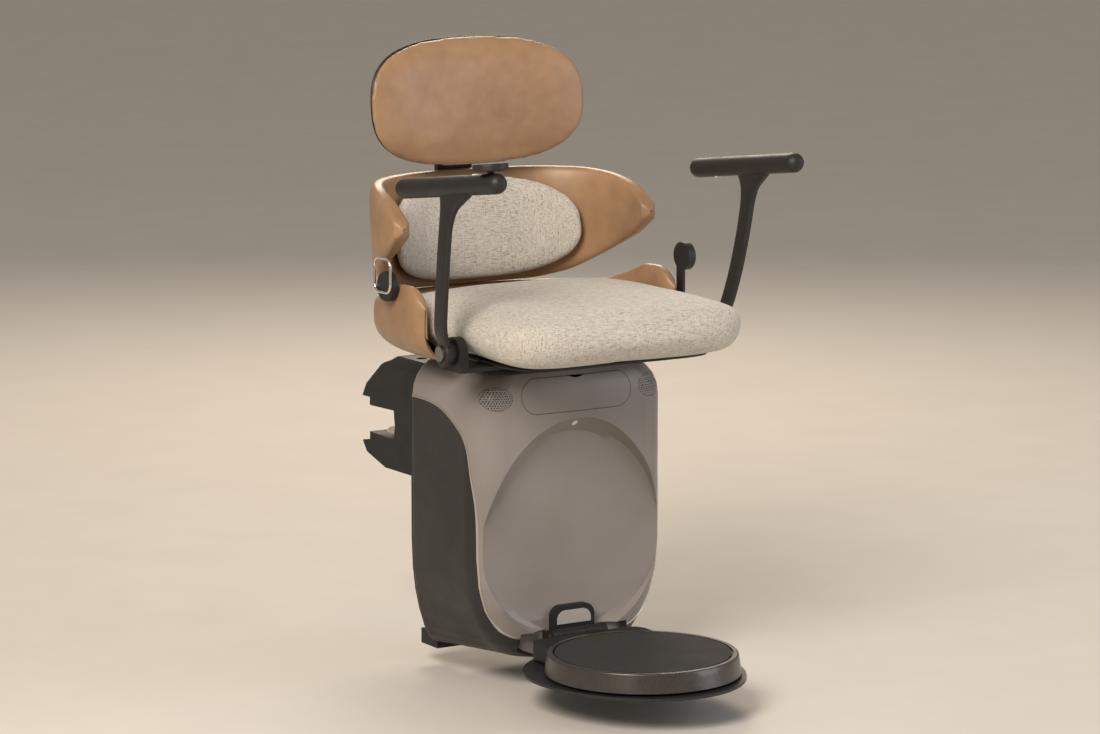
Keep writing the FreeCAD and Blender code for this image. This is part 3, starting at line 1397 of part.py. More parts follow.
def bar_point(side, along, lift):
    """A point of the arm bar, at a distance from the middle of its front end and above its axis."""
    front = Vector(side * size("bar_front_x"), behind(size("bar_front_behind")), above(size("bar_front_height")))
    back = Vector(side * size("bar_back_x"), behind(size("bar_back_behind")), above(size("bar_back_height")))
    run = (back - front).normalize()
    up = Vector(0, -run.z, run.y).normalize()
    return front + run * along + up * lift, up


def arm_frame(side):
    """One arm: eye, post and round bar."""
    wide = size("post_wide")
    thin = size("post_thin")
    eye_middle = (eye_in + eye_out) / 2
    high = (size("post_high_x"), size("post_high_behind"), size("post_high_height"))
    bar_middle_x = (size("bar_front_x") + size("bar_back_x")) / 2
    post = loft([
        post_wire(side, eye_middle, size("arm_pivot_behind") - 2, size("arm_pivot_height") + 3, wide, thin),
        post_wire(side, size("post_low_x"), size("post_low_behind"), size("post_low_height"), wide, thin),
        post_wire(side, high[0] + 1, high[1] + 12, high[2] - 60, wide, thin),
        post_wire(side, high[0], high[1], high[2], wide + 4, thin),
        post_wire(side, bar_middle_x + 3, high[1] - 10, high[2] + 22, wide + 28, thin + 5),
    ], True)
    eye = across(side, size("arm_eye_radius"), eye_in, eye_out, arm_y, arm_z)
    front, up = bar_point(side, 0, 0)
    back = bar_point(side, (Vector(size("bar_back_x"), size("bar_back_behind"), size("bar_back_height"))
                            - Vector(size("bar_front_x"), size("bar_front_behind"), size("bar_front_height"))).Length, 0)[0]
    radius = size("bar_radius")
    bar = Part.makeCylinder(radius, (back - front).Length, front, back - front)
    bar = bar.fuse(Part.makeSphere(radius, front)).fuse(Part.makeSphere(radius, back))
    frame = eye.fuse(post).fuse(bar)
    frame = frame.cut(across(side, size("arm_pin_radius") + size("pin_head_lip") + 0.4, eye_out, eye_out + 8, arm_y, arm_z))
    return frame.cut(across(side, size("arm_pin_radius") + size("running_fit"), 0, 400, arm_y, arm_z))


def lens(side, along, direction, grown, proud):
    """A round lens let into the arm bar, above it or below it."""
    base, up = bar_point(side, along, direction * (size("bar_radius") - size("lens_depth")))
    return Part.makeCylinder(size("lens_radius") + grown, size("lens_depth") + proud, base, up * direction)


keep(solid("arm_brackets_shape", Part.makeCompound([arm_bracket(-1), arm_bracket(1)])), "arm_brackets")
keep(solid("arm_pins_shape", Part.makeCompound([arm_pin(-1), arm_pin(1)])), "arm_pins")
arm_right = arm_frame(-1)
puck_base, puck_up = bar_point(-1, size("puck_along"), size("bar_radius"))
ball_place = puck_base - puck_up * size("stem_depth")
socket = size("ball_radius") + size("ball_gap")
arm_right = arm_right.cut(Part.makeCylinder(socket, 40, ball_place, puck_up)).cut(Part.makeSphere(socket, ball_place))
arm_right = arm_right.cut(lens(-1, size("lens_along"), 1, size("running_fit"), 20))
arm_left = arm_frame(1).cut(lens(1, size("rear_lens_along"), -1, size("running_fit"), 20))
keep(solid("arm_frame_right_shape", arm_right), "arm_frame_right")
keep(solid("arm_frame_left_shape", arm_left), "arm_frame_left")
keep(solid("status_light_shape", lens(-1, size("lens_along"), 1, 0.0, size("lens_proud"))), "status_light")
keep(solid("arm_light_shape", lens(1, size("rear_lens_along"), -1, 0.0, size("lens_proud"))), "arm_light")

stem = Part.makeCylinder(size("stem_radius"), size("stem_depth") + size("puck_lift") + 1,
                         ball_place, puck_up).fuse(Part.makeSphere(size("ball_radius"), ball_place))
puck = Part.makeCylinder(size("puck_radius"), size("puck_thick"), puck_base + puck_up * size("puck_lift"), puck_up)
puck = puck.makeFillet(3.0, [edge for edge in puck.Edges if edge.Curve.TypeId == "Part::GeomCircle"])
keep(solid("joystick_shape", puck.fuse(stem).removeSplitter()), "joystick")

# Belt

reel_z = above(size("reel_height"))
reel_in = shell_side - 0.5
reel_out = reel_in + size("reel_thick")
reel = across(-1, size("reel_radius"), reel_in, reel_out, reel_y, reel_z)
reel = reel.makeFillet(3.0, [edge for edge in reel.Edges if edge.BoundBox.XMax < -reel_out + 0.01])
slot_y = reel_y - 14
reel = reel.cut(slab(-reel_out + 4, -reel_out + 7, slot_y, slot_y + 28, reel_z, reel_z + 60))
stud = across(-1, size("reel_stud_radius"), shell_side - size("hip_wall"), reel_in + 1, reel_y, stud_z)
keep(solid("belt_reel_case_shape", reel.fuse(stud)), "belt_reel_case")

rod = size("tongue_radius")
tongue_x = -(reel_out + rod)
tongue_y = reel_y
tongue_z = reel_z + size("tongue_rise")
tongue_half = size("tongue_half_width") - rod
tongue_tall = size("tongue_half_height") - rod
bend = 13.0
corner_mid = bend * (1 - math.sin(math.pi / 4))


def ring_point(y, z):
    """A point of the tongue loop."""
    return Vector(tongue_x, tongue_y + y, tongue_z + z)


loop = []
for turn in range(4):
    across_first = turn % 2 == 0
    sign_y = (1, -1, -1, 1)[turn]
    sign_z = (1, 1, -1, -1)[turn]
    side_point = ring_point(sign_y * tongue_half, sign_z * (tongue_tall - bend))
    top_point = ring_point(sign_y * (tongue_half - bend), sign_z * tongue_tall)
    middle = ring_point(sign_y * (tongue_half - corner_mid), sign_z * (tongue_tall - corner_mid))
    first, last = (side_point, top_point) if across_first else (top_point, side_point)
    loop.append((first, middle, last))
edges = []
for index, (first, middle, last) in enumerate(loop):
    edges.append(Part.Arc(first, middle, last).toShape())
    edges.append(Part.makeLine(last, loop[(index + 1) % 4][0]))
path = Part.Wire(edges)
start = loop[0][0]
profile = Part.Wire(Part.makeCircle(rod, start, Vector(0, 0, 1)))
tongue = path.makePipeShell([profile], True, False)
keep(solid("belt_tongue_shape", tongue), "belt_tongue")

buckle_y = behind(size("buckle_behind"))
buckle_z = above(size("buckle_height"))
buckle_out = size("buckle_face")
buckle_in = buckle_out - size("buckle_thick")
buckle = across(1, size("buckle_radius"), buckle_in, buckle_out, buckle_y, buckle_z)
buckle = buckle.makeFillet(3.0, [edge for edge in buckle.Edges if edge.BoundBox.XMin > buckle_out - 0.01])
stalk = size("stalk_half_width")
buckle = buckle.fuse(slab(buckle_in, buckle_in + size("stalk_thick"), buckle_y + 4 - stalk, buckle_y + 4 + stalk,
                          above(size("stalk_foot")), buckle_z - 6))
pocket = across(1, size("buckle_button_radius") + size("running_fit"), buckle_out - size("buckle_pocket"),
                buckle_out + 20, buckle_y, buckle_z)
keep(solid("buckle_case_shape", buckle.cut(pocket).removeSplitter()), "buckle_case")
button = across(1, size("buckle_button_radius"), buckle_out - size("buckle_button_depth"),
                buckle_out + size("buckle_button_proud"), buckle_y, buckle_z)
keep(solid("buckle_button_shape", button), "buckle_button")

doc.recompute()
for thing in doc.Objects:
    if "Invalid" in thing.State or "Error" in thing.State:
        raise RuntimeError("%s has not been made: %s" % (thing.Label, thing.State))
os.makedirs("parts", exist_ok=True)
for node in nodes:
    if node.Shape.isNull() or not node.Shape.isValid():
        raise RuntimeError("%s has no sound shape" % node.Label)
    node.Shape.exportStep("parts/%s.step" % node.Label)
print(len(nodes), "pieces:", " ".join(sorted(node.Label for node in nodes)))
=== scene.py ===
"""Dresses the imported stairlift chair: finishes, upholstery, moulded covers, light and camera.

Lengths in millimetres are measured from the housing's front and from the footrest's deck: x to the
sitter's left, "behind" towards the rail, "level" upwards. The function placed turns them into the row frame.
"""

import json
import logging
import math
from dataclasses import dataclass
from enum import Enum
from typing import Callable, Optional, Sequence, Union

import bpy
import numpy as np
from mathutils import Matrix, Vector

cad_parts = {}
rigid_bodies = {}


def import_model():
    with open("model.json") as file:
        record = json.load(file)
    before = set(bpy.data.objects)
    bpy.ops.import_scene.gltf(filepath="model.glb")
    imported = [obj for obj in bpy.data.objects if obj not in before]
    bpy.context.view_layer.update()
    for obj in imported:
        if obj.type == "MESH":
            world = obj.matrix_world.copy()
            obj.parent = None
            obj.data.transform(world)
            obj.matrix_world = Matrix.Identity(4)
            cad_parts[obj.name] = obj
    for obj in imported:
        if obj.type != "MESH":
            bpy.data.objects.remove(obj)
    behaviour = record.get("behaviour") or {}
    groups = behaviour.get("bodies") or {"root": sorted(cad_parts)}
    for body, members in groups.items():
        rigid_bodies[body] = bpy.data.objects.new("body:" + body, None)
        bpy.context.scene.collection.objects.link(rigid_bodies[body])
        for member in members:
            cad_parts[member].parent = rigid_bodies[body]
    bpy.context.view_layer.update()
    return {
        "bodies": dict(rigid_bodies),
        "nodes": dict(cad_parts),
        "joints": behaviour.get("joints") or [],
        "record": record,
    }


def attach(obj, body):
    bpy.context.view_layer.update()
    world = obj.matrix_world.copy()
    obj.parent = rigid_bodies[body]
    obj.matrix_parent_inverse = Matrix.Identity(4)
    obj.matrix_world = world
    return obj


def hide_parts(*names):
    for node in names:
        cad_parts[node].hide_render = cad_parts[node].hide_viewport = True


LOG = logging.getLogger("stairlift_chair")
MM = 0.001
FRONT = -0.415
DECK = -0.258
QUARTER = math.pi / 2
SHELL_HALF = 227
HEAD_HALF = 185
HEAD_BOW = 26
HEAD_MIDDLE = 755
LEAN = 0.08

Colour = tuple[float, float, float, float]
Fed = Union[float, bpy.types.NodeSocket]
Mapping = Callable[[np.ndarray], np.ndarray]


class Bump(Enum):
    """The kinds of surface relief that a finish can have."""

    NONE = "none"
    GRAIN = "grain"
    PEBBLE = "pebble"
    WEAVE = "weave"
    HIDE = "hide"
    BRUSHED = "brushed"
    HOLES = "holes"


@dataclass(frozen=True)
class Finish:
    """What one material looks like.

    Args:
        name: The material's name, after the real finish.
        colour: The main colour as sRGB hex.
        second: The colour that it varies towards.
        rough: The middle roughness.
        metal: How metallic it is, 0 to 1.
        bump: The kind of relief.
        depth: The strength of the relief.
        scale: Features per metre of the relief.
        coat: The weight of a clear coat.
        sheen: The weight of a cloth sheen.
    """

    name: str
    colour: str
    second: str
    rough: float = 0.45
    metal: float = 0.0
    bump: Bump = Bump.GRAIN
    depth: float = 0.1
    scale: float = 1800.0
    coat: float = 0.0
    sheen: float = 0.0


FINISHES = {
    # Undyed and grey yarns spun together: threads 1.6 mm apart, and dark slubs that break up a pale ground
    "weave": Finish("heathered wool weave", "d3ccc0", "6b6155", 0.92, 0.0, Bump.WEAVE, 0.5, 620.0, 0.0, 0.25),
    # Aniline-dyed hide, cloudy in colour, with a low sheen on a grain of 1.4 mm
    "hide": Finish("tan saddle leather", "ab8663", "86664a", 0.42, 0.0, Bump.HIDE, 0.16, 700.0, 0.12),
    # Moulded ABS with a satin lacquer, nearly even in colour; the peel of the lacquer is 0.4 mm fine
    "cover": Finish("satin lacquered ABS", "8f8883", "857d77", 0.34, 0.0, Bump.GRAIN, 0.04, 2600.0),
    # ABS dyed black in the mass, dull from a spark grain of 0.45 mm
    "panel": Finish("black moulded ABS", "262423", "1e1c1b", 0.46, 0.0, Bump.GRAIN, 0.08, 2200.0),
    # Fine-texture powder, whose pebbles of 0.7 mm scatter the light
    "powder": Finish("black powder coat", "1f1e1d", "181716", 0.55, 0.1, Bump.PEBBLE, 0.18, 1500.0),
    # Elastomer with a silky bloom that softens highlights
    "soft": Finish("soft-touch black elastomer", "211e1d", "1a1817", 0.5, 0.0, Bump.GRAIN, 0.05, 2400.0),
    # Brushed, then anodised, so that highlights run along lines 1.1 mm apart
    "trim": Finish("satin anodised aluminium", "d2cdc6", "b4aea6", 0.28, 1.0, Bump.BRUSHED, 0.05, 900.0),
    # Bright chrome, which mirrors the room
    "chrome": Finish("polished chrome", "e6e4e0", "dcd9d4", 0.08, 1.0, Bump.NONE),
    # Turned steel under a thin zinc layer, cool and slightly cloudy
    "steel": Finish("zinc plated steel", "a9a8a4", "8e8c86", 0.34, 1.0, Bump.BRUSHED, 0.1, 1100.0),
    # Crumb rubber of 1.1 mm grains: dark, matt and speckled
    "rubber": Finish("speckled crumb rubber", "232221", "35322f", 0.88, 0.0, Bump.PEBBLE, 0.6, 900.0),
    # Waxy cream plastic
    "polymer": Finish("cast polyamide", "b9b2a2", "a39c8c", 0.5, 0.0, Bump.GRAIN, 0.06, 2000.0),
    # Milky plastic over a lamp
    "lens": Finish("opal polycarbonate", "f1efe9", "e9e6df", 0.25, 0.0, Bump.NONE),
    # Blue-black plastic with a pebbled mould grain of 0.7 mm
    "case": Finish("battery case polypropylene", "2b2b2e", "222225", 0.4, 0.0, Bump.PEBBLE, 0.1, 1500.0),
    # Green solder mask under a clear varnish
    "board": Finish("coated circuit board", "1f4a2d", "173a22", 0.3, 0.0, Bump.GRAIN, 0.12, 700.0, 0.4),
    # The pale face of the footrest's hinge: the cover's grey painted paler, as painted light where the lamp
    # falls on it
    "hinge_face_painted_light": Finish("cover grey with painted light", "b8b1aa", "aaa39b", 0.4, 0.0, Bump.GRAIN, 0.04, 2400.0),
    # Glossy red plastic, as on a mains switch
    "rocker": Finish("red gloss rocker", "9c2018", "851a13", 0.25, 0.0, Bump.NONE, 0.0, 1.0, 0.3),
    # Warm bronze with the marks of the lathe
    "bush": Finish("turned bronze", "b08d4b", "94743a", 0.3, 1.0, Bump.BRUSHED, 0.08, 1200.0),
    # Dark holes 3.7 mm apart in a cap of the cover's colour
    "grille": Finish("perforated speaker cap", "8a837e", "0b0a0a", 0.4, 0.0, Bump.HOLES, 0.6, 270.0),
    # A dark anodised ring with a soft streak of light along it
    "rim": Finish("dark satin anodised aluminium", "6a6561", "524e4a", 0.3, 0.85, Bump.BRUSHED, 0.03, 900.0),
    # Painted board, even and matt
    "floor": Finish("pale studio floor", "d9d3ca", "d6d0c7", 0.8, 0.0, Bump.NONE),
}

NODE_FINISH = {
    "powder": (
        "upper_jaw", "lower_jaw", "carriage_web", "levelling_hub", "drive_motor", "chassis", "levelling_motor",
        "rear_brackets", "hinge_bracket", "footrest_plate", "footrest_neck", "swivel_ring", "back_spine",
        "arm_brackets",
    ),
    "steel": (
        "jaw_bolts", "roller_axles", "levelling_gear", "drive_pinion", "levelling_pinion", "chassis_screws",
        "seat_post", "hinge_pin", "arm_pins",
    ),
    "polymer": ("roller_upper_right", "roller_upper_left", "roller_lower_right", "roller_lower_left"),
    "bush": ("hub_bush",),
    "case": ("battery_left", "battery_right"),
    "board": ("control_board",),
    "panel": ("hatch_tray", "safety_flange"),
    "grille": ("speakers",),
    "rubber": ("footrest_mat",),
    "rocker": ("isolator_switch",),
    "lens": ("recess_light", "status_light", "arm_light"),
    "soft": ("belt_reel_case", "buckle_case", "buckle_button", "joystick"),
    "chrome": ("belt_tongue",),
    # The hinge face gets the cover's grey painted paler: painted light
    "hinge_face_painted_light": ("hinge_face",),
    "trim": ("side_trims",),
}


def linear(code: str) -> Colour:
    """Turns an sRGB hex code into linear colour.

    Args:
        code: Six hex digits.

    Returns:
        Linear red, green, blue and an alpha of one.
    """
    parts = [int(code[i:i + 2], 16) / 255 for i in (0, 2, 4)]
    values = [c / 12.92 if c <= 0.04045 else ((c + 0.055) / 1.055) ** 2.4 for c in parts]
    return values[0], values[1], values[2], 1.0


class Paint:
    """Builds the node tree of one procedural material.

    The constants are features per metre, apart from RELIEF (the bump's height in metres), ROW_STEP (rows
    of holes per column) and HOLE_EDGE (where a hole ends and starts, as squares of cells).

    Args:
        finish: What the material looks like.
    """

    CLOUDS = 7.0
    WEAR = 26.0
    MOTTLE = 38.0
    SLUB_LONG = 90.0
    SLUB_DEEP = 110.0
    THREAD = 900.0
    FLECKS = 780.0
    RELIEF = 0.0006
    ROW_STEP = 1.1547
    HOLE_EDGE = (0.075, 0.06)

    def __init__(self, finish: Finish) -> None:
        """Starts an empty tree."""
        self.finish = finish
        self.material = bpy.data.materials.new(finish.name)
        self.material.use_nodes = True
        self.tree = self.material.node_tree
        self.tree.nodes.clear()
        self.space = self.add("ShaderNodeTexCoord").outputs["Object"]

    def add(self, kind: str, inputs: Optional[dict] = None, **settings: object) -> bpy.types.Node:
        """Adds one node, sets it and links what feeds it.

        Args:
            kind: The node's type name.
            inputs: Input name or index to a value or an output socket.
            settings: Properties of the node.

        Returns:
            The node.
        """
        node = self.tree.nodes.new(kind)
        for key, value in settings.items():
            setattr(node, key, value)
        for key, value in (inputs or {}).items():
            if isinstance(value, bpy.types.NodeSocket):
                self.tree.links.new(value, node.inputs[key])
            else:
                node.inputs[key].default_value = value
        return node

    def stretched(self, x: float, y: float, z: float) -> bpy.types.NodeSocket:
        """Object space, scaled along each axis."""
        return self.add("ShaderNodeVectorMath", {0: self.space, 1: (x, y, z)}, operation="MULTIPLY").outputs[0]

    def noise(self, vector: bpy.types.NodeSocket, scale: float, detail: float = 3.0) -> bpy.types.NodeSocket:
        """A noise value in a space."""
        node = self.add("ShaderNodeTexNoise", {"Vector": vector, "Scale": scale, "Detail": detail})
        return node.outputs["Fac"]

    def maths(self, operation: str, first: Fed, second: Fed) -> bpy.types.NodeSocket:
        """One arithmetic step."""
        return self.add("ShaderNodeMath", {0: first, 1: second}, operation=operation).outputs[0]

    def spread(self, value: bpy.types.NodeSocket, low: float, high: float, to_low: float = 0.0,
               to_high: float = 1.0) -> bpy.types.NodeSocket:
        """Maps a range of a value to another range."""
        return self.add("ShaderNodeMapRange", {"Value": value, "From Min": low, "From Max": high,
                                               "To Min": to_low, "To Max": to_high}).outputs["Result"]

    def mixed(self, share: bpy.types.NodeSocket, first: Colour, second: Colour) -> bpy.types.NodeSocket:
        """Mixes two colours by a share.

        Args:
            share: How much of the second colour, 0 to 1.
            first: The colour at 0.
            second: The colour at 1.

        Returns:
            The mixed colour.
        """
        node = self.add("ShaderNodeMix", data_type="RGBA")
        self.tree.links.new(share, node.inputs["Factor"])
        node.inputs[6].default_value = first
        node.inputs[7].default_value = second
        return node.outputs[2]

    def threads(self) -> tuple[bpy.types.NodeSocket, bpy.types.NodeSocket]:
        """A plain weave: the product of two sines, with slubs as noise drawn out along each thread.

        Returns:
            Its relief and how far each thread departs in colour.
        """
        turns = self.finish.scale * 2 * math.pi
        split = self.add("ShaderNodeSeparateXYZ", {0: self.space})
        along = self.maths("ADD", split.outputs[1], split.outputs[2])
        warp = self.maths("SINE", self.maths("MULTIPLY", split.outputs[0], turns), 0.0)
        weft = self.maths("SINE", self.maths("MULTIPLY", along, turns), 0.0)
        weave = self.maths("MULTIPLY", warp, weft)
        slubs_x = self.noise(self.stretched(self.SLUB_LONG, self.THREAD, self.THREAD), 1.0, 2.0)
        slubs_z = self.noise(self.stretched(self.THREAD, self.SLUB_DEEP, self.SLUB_DEEP), 1.0, 2.0)
        fleck = self.noise(self.space, self.FLECKS, 2.0)
        relief = self.maths("ADD", self.maths("MULTIPLY", weave, 0.5), self.maths("ADD", slubs_x, slubs_z))
        mixed = self.maths("ADD", self.maths("MULTIPLY", slubs_x, 0.5), self.maths("MULTIPLY", slubs_z, 0.3))
        tone = self.maths("ADD", mixed, self.maths("MULTIPLY", fleck, 0.35))
        return relief, self.spread(tone, 0.54, 0.78)

    def holes(self) -> tuple[bpy.types.NodeSocket, bpy.types.NodeSocket]:
        """Round holes in staggered rows, seen from the front: a hole where x² + z² within a cell is small.

        Returns:
            The relief and the share of the holes' colour.
        """
        split = self.add("ShaderNodeSeparateXYZ", {0: self.space})
        row = self.maths("MULTIPLY", split.outputs[2], self.finish.scale * self.ROW_STEP)
        shift = self.maths("MULTIPLY", self.maths("MODULO", self.maths("FLOOR", row, 0.0), 2.0), 0.5)
        column = self.maths("ADD", self.maths("MULTIPLY", split.outputs[0], self.finish.scale), shift)
        aside = self.maths("SUBTRACT", self.maths("FRACT", column, 0.0), 0.5)
        above = self.maths("SUBTRACT", self.maths("FRACT", row, 0.0), 0.5)
        reach = self.maths("ADD", self.maths("MULTIPLY", aside, aside), self.maths("MULTIPLY", above, above))
        hole = self.spread(reach, *self.HOLE_EDGE)
        return self.maths("SUBTRACT", 1.0, hole), hole

    def relief(self) -> tuple[Optional[bpy.types.NodeSocket], bpy.types.NodeSocket]:
        """The relief for the finish's kind.

        Returns:
            The height of the surface, or None, and the share of its second colour.
        """
        kind, scale = self.finish.bump, self.finish.scale
        broad = self.spread(self.noise(self.space, self.CLOUDS, 4.0), 0.35, 0.68)
        if kind is Bump.WEAVE:
            return self.threads()
        if kind is Bump.HOLES:
            return self.holes()
        if kind is Bump.HIDE:
            cells = self.add("ShaderNodeTexVoronoi", {"Vector": self.space, "Scale": scale}, feature="F1")
            pores = self.noise(self.space, scale * 0.5, 4.0)
            mottle = self.spread(self.noise(self.space, self.MOTTLE, 6.0), 0.36, 0.66)
            share = self.maths("ADD", self.maths("MULTIPLY", broad, 0.6), self.maths("MULTIPLY", mottle, 0.3))
            return self.maths("ADD", cells.outputs["Distance"], pores), share
        if kind is Bump.PEBBLE:
            cells = self.add("ShaderNodeTexVoronoi", {"Vector": self.space, "Scale": scale}, feature="F1")
            return cells.outputs["Distance"], self.maths("MULTIPLY", cells.outputs["Distance"], 1.2)
        if kind is Bump.BRUSHED:
            lines = self.noise(self.stretched(scale * 0.06, scale, scale * 0.06), 1.0, 2.0)
            return lines, lines
        if kind is Bump.GRAIN:
            return self.noise(self.space, scale, 2.0), broad
        return None, broad

    def build(self) -> bpy.types.Material:
        """Links the tree.

        Returns:
            The material.
        """
        look = self.finish
        height, share = self.relief()
        colour = self.mixed(share, linear(look.colour), linear(look.second))
        worn = self.noise(self.space, self.WEAR, 5.0)
        wear = self.spread(worn, 0.3, 0.7, look.rough - 0.05, look.rough + 0.07)
        shader = self.add("ShaderNodeBsdfPrincipled", {"Base Color": colour, "Roughness": wear})
        shader.inputs["Metallic"].default_value = look.metal
        shader.inputs["Coat Weight"].default_value = look.coat
        shader.inputs["Coat Roughness"].default_value = 0.3
        shader.inputs["Sheen Weight"].default_value = look.sheen
        shader.inputs["Sheen Roughness"].default_value = 0.5
        if height is not None:
            fed = {"Height": height, "Strength": look.depth, "Distance": self.RELIEF}
            bump = self.add("ShaderNodeBump", fed)
            self.tree.links.new(bump.outputs[0], shader.inputs["Normal"])
        output = self.add("ShaderNodeOutputMaterial")
        self.tree.links.new(shader.outputs[0], output.inputs[0])
        return self.material


class Workshop:
    """Keeps the finishes and makes the pieces.

    Args:
        frame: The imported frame, whose nodes it dresses.
    """

    def __init__(self, frame: dict) -> None:
        """Builds every finish once."""
        self.nodes = frame["nodes"]
        self.finishes = {key: Paint(finish).build() for key, finish in FINISHES.items()}

    def coat(self, obj: bpy.types.Object, key: str) -> bpy.types.Object:
        """Gives an object one finish.

        Args:
            obj: The object.
            key: The key of the finish.

        Returns:
            The object.
        """
        obj.data.materials.clear()
        obj.data.materials.append(self.finishes[key])
        return obj

    def mesh(self, name: str, points: np.ndarray, faces: np.ndarray, key: str) -> bpy.types.Object:
        """Makes a smooth mesh object in the row frame.

        Args:
            name: The piece's name.
            points: Its vertices, in metres.
            faces: Its quads, as vertex numbers.
            key: The key of its finish.

        Returns:
            The object.
        """
        data = bpy.data.meshes.new(name)
        data.from_pydata(points.reshape(-1, 3).tolist(), [], faces.tolist())
        data.validate()
        data.polygons.foreach_set("use_smooth", [True] * len(data.polygons))
        obj = bpy.data.objects.new(name, data)
        bpy.context.scene.collection.objects.link(obj)
        return self.coat(obj, key)

    def settle(self, obj: bpy.types.Object, body: str, slot: str, *nodes: str) -> None:
        """Rides a piece on its body and lets it stand for CAD nodes.

        Args:
            obj: The piece.
            body: The body that it moves with.
            slot: Its material slot in the record; not used.
            nodes: The CAD nodes that it replaces.
        """
        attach(obj, body)
        if nodes:
            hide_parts(*nodes)
        LOG.info("%s rides on %s", obj.name, body)

    def dress_nodes(self) -> None:
        """Gives every CAD node that stays in view its finish."""
        for key, names in NODE_FINISH.items():
            for name in names:
                self.coat(self.nodes[name], key)


@dataclass(frozen=True)
class Moulding:
    """A cover that stands in for a faceted CAD node, with the node's own shape.

    Args:
        node: The node's name.
        key: The key of its finish.
        slot: Its material slot.
        body: The body that it moves with.
        crease: Edges sharper than this many degrees stay sharp.
        weld: Points nearer than this, in metres, are merged.
    """

    node: str
    key: str
    slot: str
    body: str
    crease: float = 24.0
    weld: float = 2e-5

    def make(self, shop: Workshop) -> None:
        """Copies the node's mesh, merges its loose triangles and smooths it between creases.

        Args:
            shop: The workshop that makes it.
        """
        obj = bpy.data.objects.new(self.node + "_moulding", shop.nodes[self.node].data.copy())
        bpy.context.scene.collection.objects.link(obj)
        apply_modifier(obj, "WELD", merge_threshold=self.weld)
        shade_by_angle(obj.data, self.crease)
        shop.coat(obj, self.key)
        shop.settle(obj, self.body, self.slot, self.node)


MOULDINGS = (
    Moulding("front_cover", "cover", "cover_grey", "housing"),
    Moulding("side_cover_left", "panel", "panel_black", "housing"),
    Moulding("side_cover_right", "panel", "panel_black", "housing"),
    Moulding("hatch_panel", "cover", "hatch_grey", "hatch"),
    Moulding("footrest_rim", "rim", "rim_metal", "footrest"),
)


def apply_modifier(obj: bpy.types.Object, kind: str, **settings: object) -> None:
    """Adds a modifier to an object and bakes it into the mesh.

    Args:
        obj: The object.
        kind: The modifier's type.
        settings: Its properties.
    """
    modifier = obj.modifiers.new(kind.lower(), kind)
    for key, value in settings.items():
        setattr(modifier, key, value)
    graph = bpy.context.evaluated_depsgraph_get()
    done = bpy.data.meshes.new_from_object(obj.evaluated_get(graph))
    obj.modifiers.clear()
    old = obj.data
    done.name = old.name
    obj.data = done
    bpy.data.meshes.remove(old)


def shade_by_angle(data: bpy.types.Mesh, degrees: float) -> None:
    """Smooths a mesh and keeps edges sharper than an angle.

    Args:
        data: The mesh.
        degrees: The angle between two faces from which their edge is sharp.
    """
    data.polygons.foreach_set("use_smooth", [True] * len(data.polygons))
    normals = np.zeros(len(data.polygons) * 3)
    data.polygons.foreach_get("normal", normals)
    normals = normals.reshape(-1, 3)
    edge_of = np.zeros(len(data.loops), int)
    data.loops.foreach_get("edge_index", edge_of)
    totals = np.zeros(len(data.polygons), int)
    data.polygons.foreach_get("loop_total", totals)
    owner = np.repeat(np.arange(len(data.polygons)), totals)
    order = np.argsort(edge_of, kind="stable")
    edges, first = np.unique(edge_of[order], return_index=True)
    count = np.diff(np.append(first, len(order)))
    sharp = np.ones(len(data.edges), bool)
    pairs = first[count == 2]
    a, b = owner[order[pairs]], owner[order[pairs + 1]]
    dots = np.einsum("ij,ij->i", normals[a], normals[b])
    sharp[edges[count == 2]] = dots < math.cos(math.radians(degrees))
    attribute = data.attributes.get("sharp_edge") or data.attributes.new("sharp_edge", "BOOLEAN", "EDGE")
    attribute.data.foreach_set("value", sharp)


def ring_faces(rows: int, ring: int, closed_rows: bool = False) -> np.ndarray:
    """Quads between each ring of a tube and the next one.

    Args:
        rows: How many rings there are.
        ring: How many points each ring has.
        closed_rows: True if the last ring joins the first.

    Returns:
        The quads.
    """
    last = rows if closed_rows else rows - 1
    r, c = np.meshgrid(np.arange(last), np.arange(ring), indexing="ij")
    n, m = (r + 1) % rows, (c + 1) % ring
    quads = np.stack([r * ring + c, n * ring + c, n * ring + m, r * ring + m], -1)
    return quads.reshape(-1, 4)


def capped_faces(rows: int, ring: int) -> np.ndarray:
    """Quads of a tube of closed rings whose first and last rings are filled in.

    Args:
        rows: How many rings there are.
        ring: How many points each ring has.

    Returns:
        The quads.
    """
    last = (rows - 1) * ring
    fan = np.arange(1, ring - 2, 2)[:, None] * np.array([0, 1, 1, 1])
    start, end = fan + np.array([0, 2, 1, 0]), last + fan + np.array([0, 0, 1, 2])
    return np.vstack([ring_faces(rows, ring), start, end])


def power(value: np.ndarray, exponent: float) -> np.ndarray:
    """A signed power, for superellipses."""
    return np.sign(value) * np.abs(value) ** exponent


def circle(count: int) -> np.ndarray:
    """Angles once round a ring."""
    return np.linspace(0, 2 * math.pi, count, endpoint=False)


def placed(x: np.ndarray, behind: np.ndarray, level: np.ndarray) -> np.ndarray:
    """Points of the row frame, from lengths in millimetres."""
    return np.stack([x * MM, FRONT + behind * MM, DECK + level * MM], -1)


def outward(points: np.ndarray, faces: np.ndarray) -> np.ndarray:
    """Turns the faces of a closed mesh outwards, by the sum of the volumes that they span with the origin.

    Args:
        points: The vertices.
        faces: The quads.

    Returns:
        The quads, turned round where the volume is negative.
    """
    p = points.reshape(-1, 3)
    a, b, c, d = (p[faces[:, k]] for k in range(4))
    volume = np.einsum("ij,ij->i", a, np.cross(b, c)).sum() + np.einsum("ij,ij->i", a, np.cross(c, d)).sum()
    return faces if volume > 0 else faces[:, ::-1]


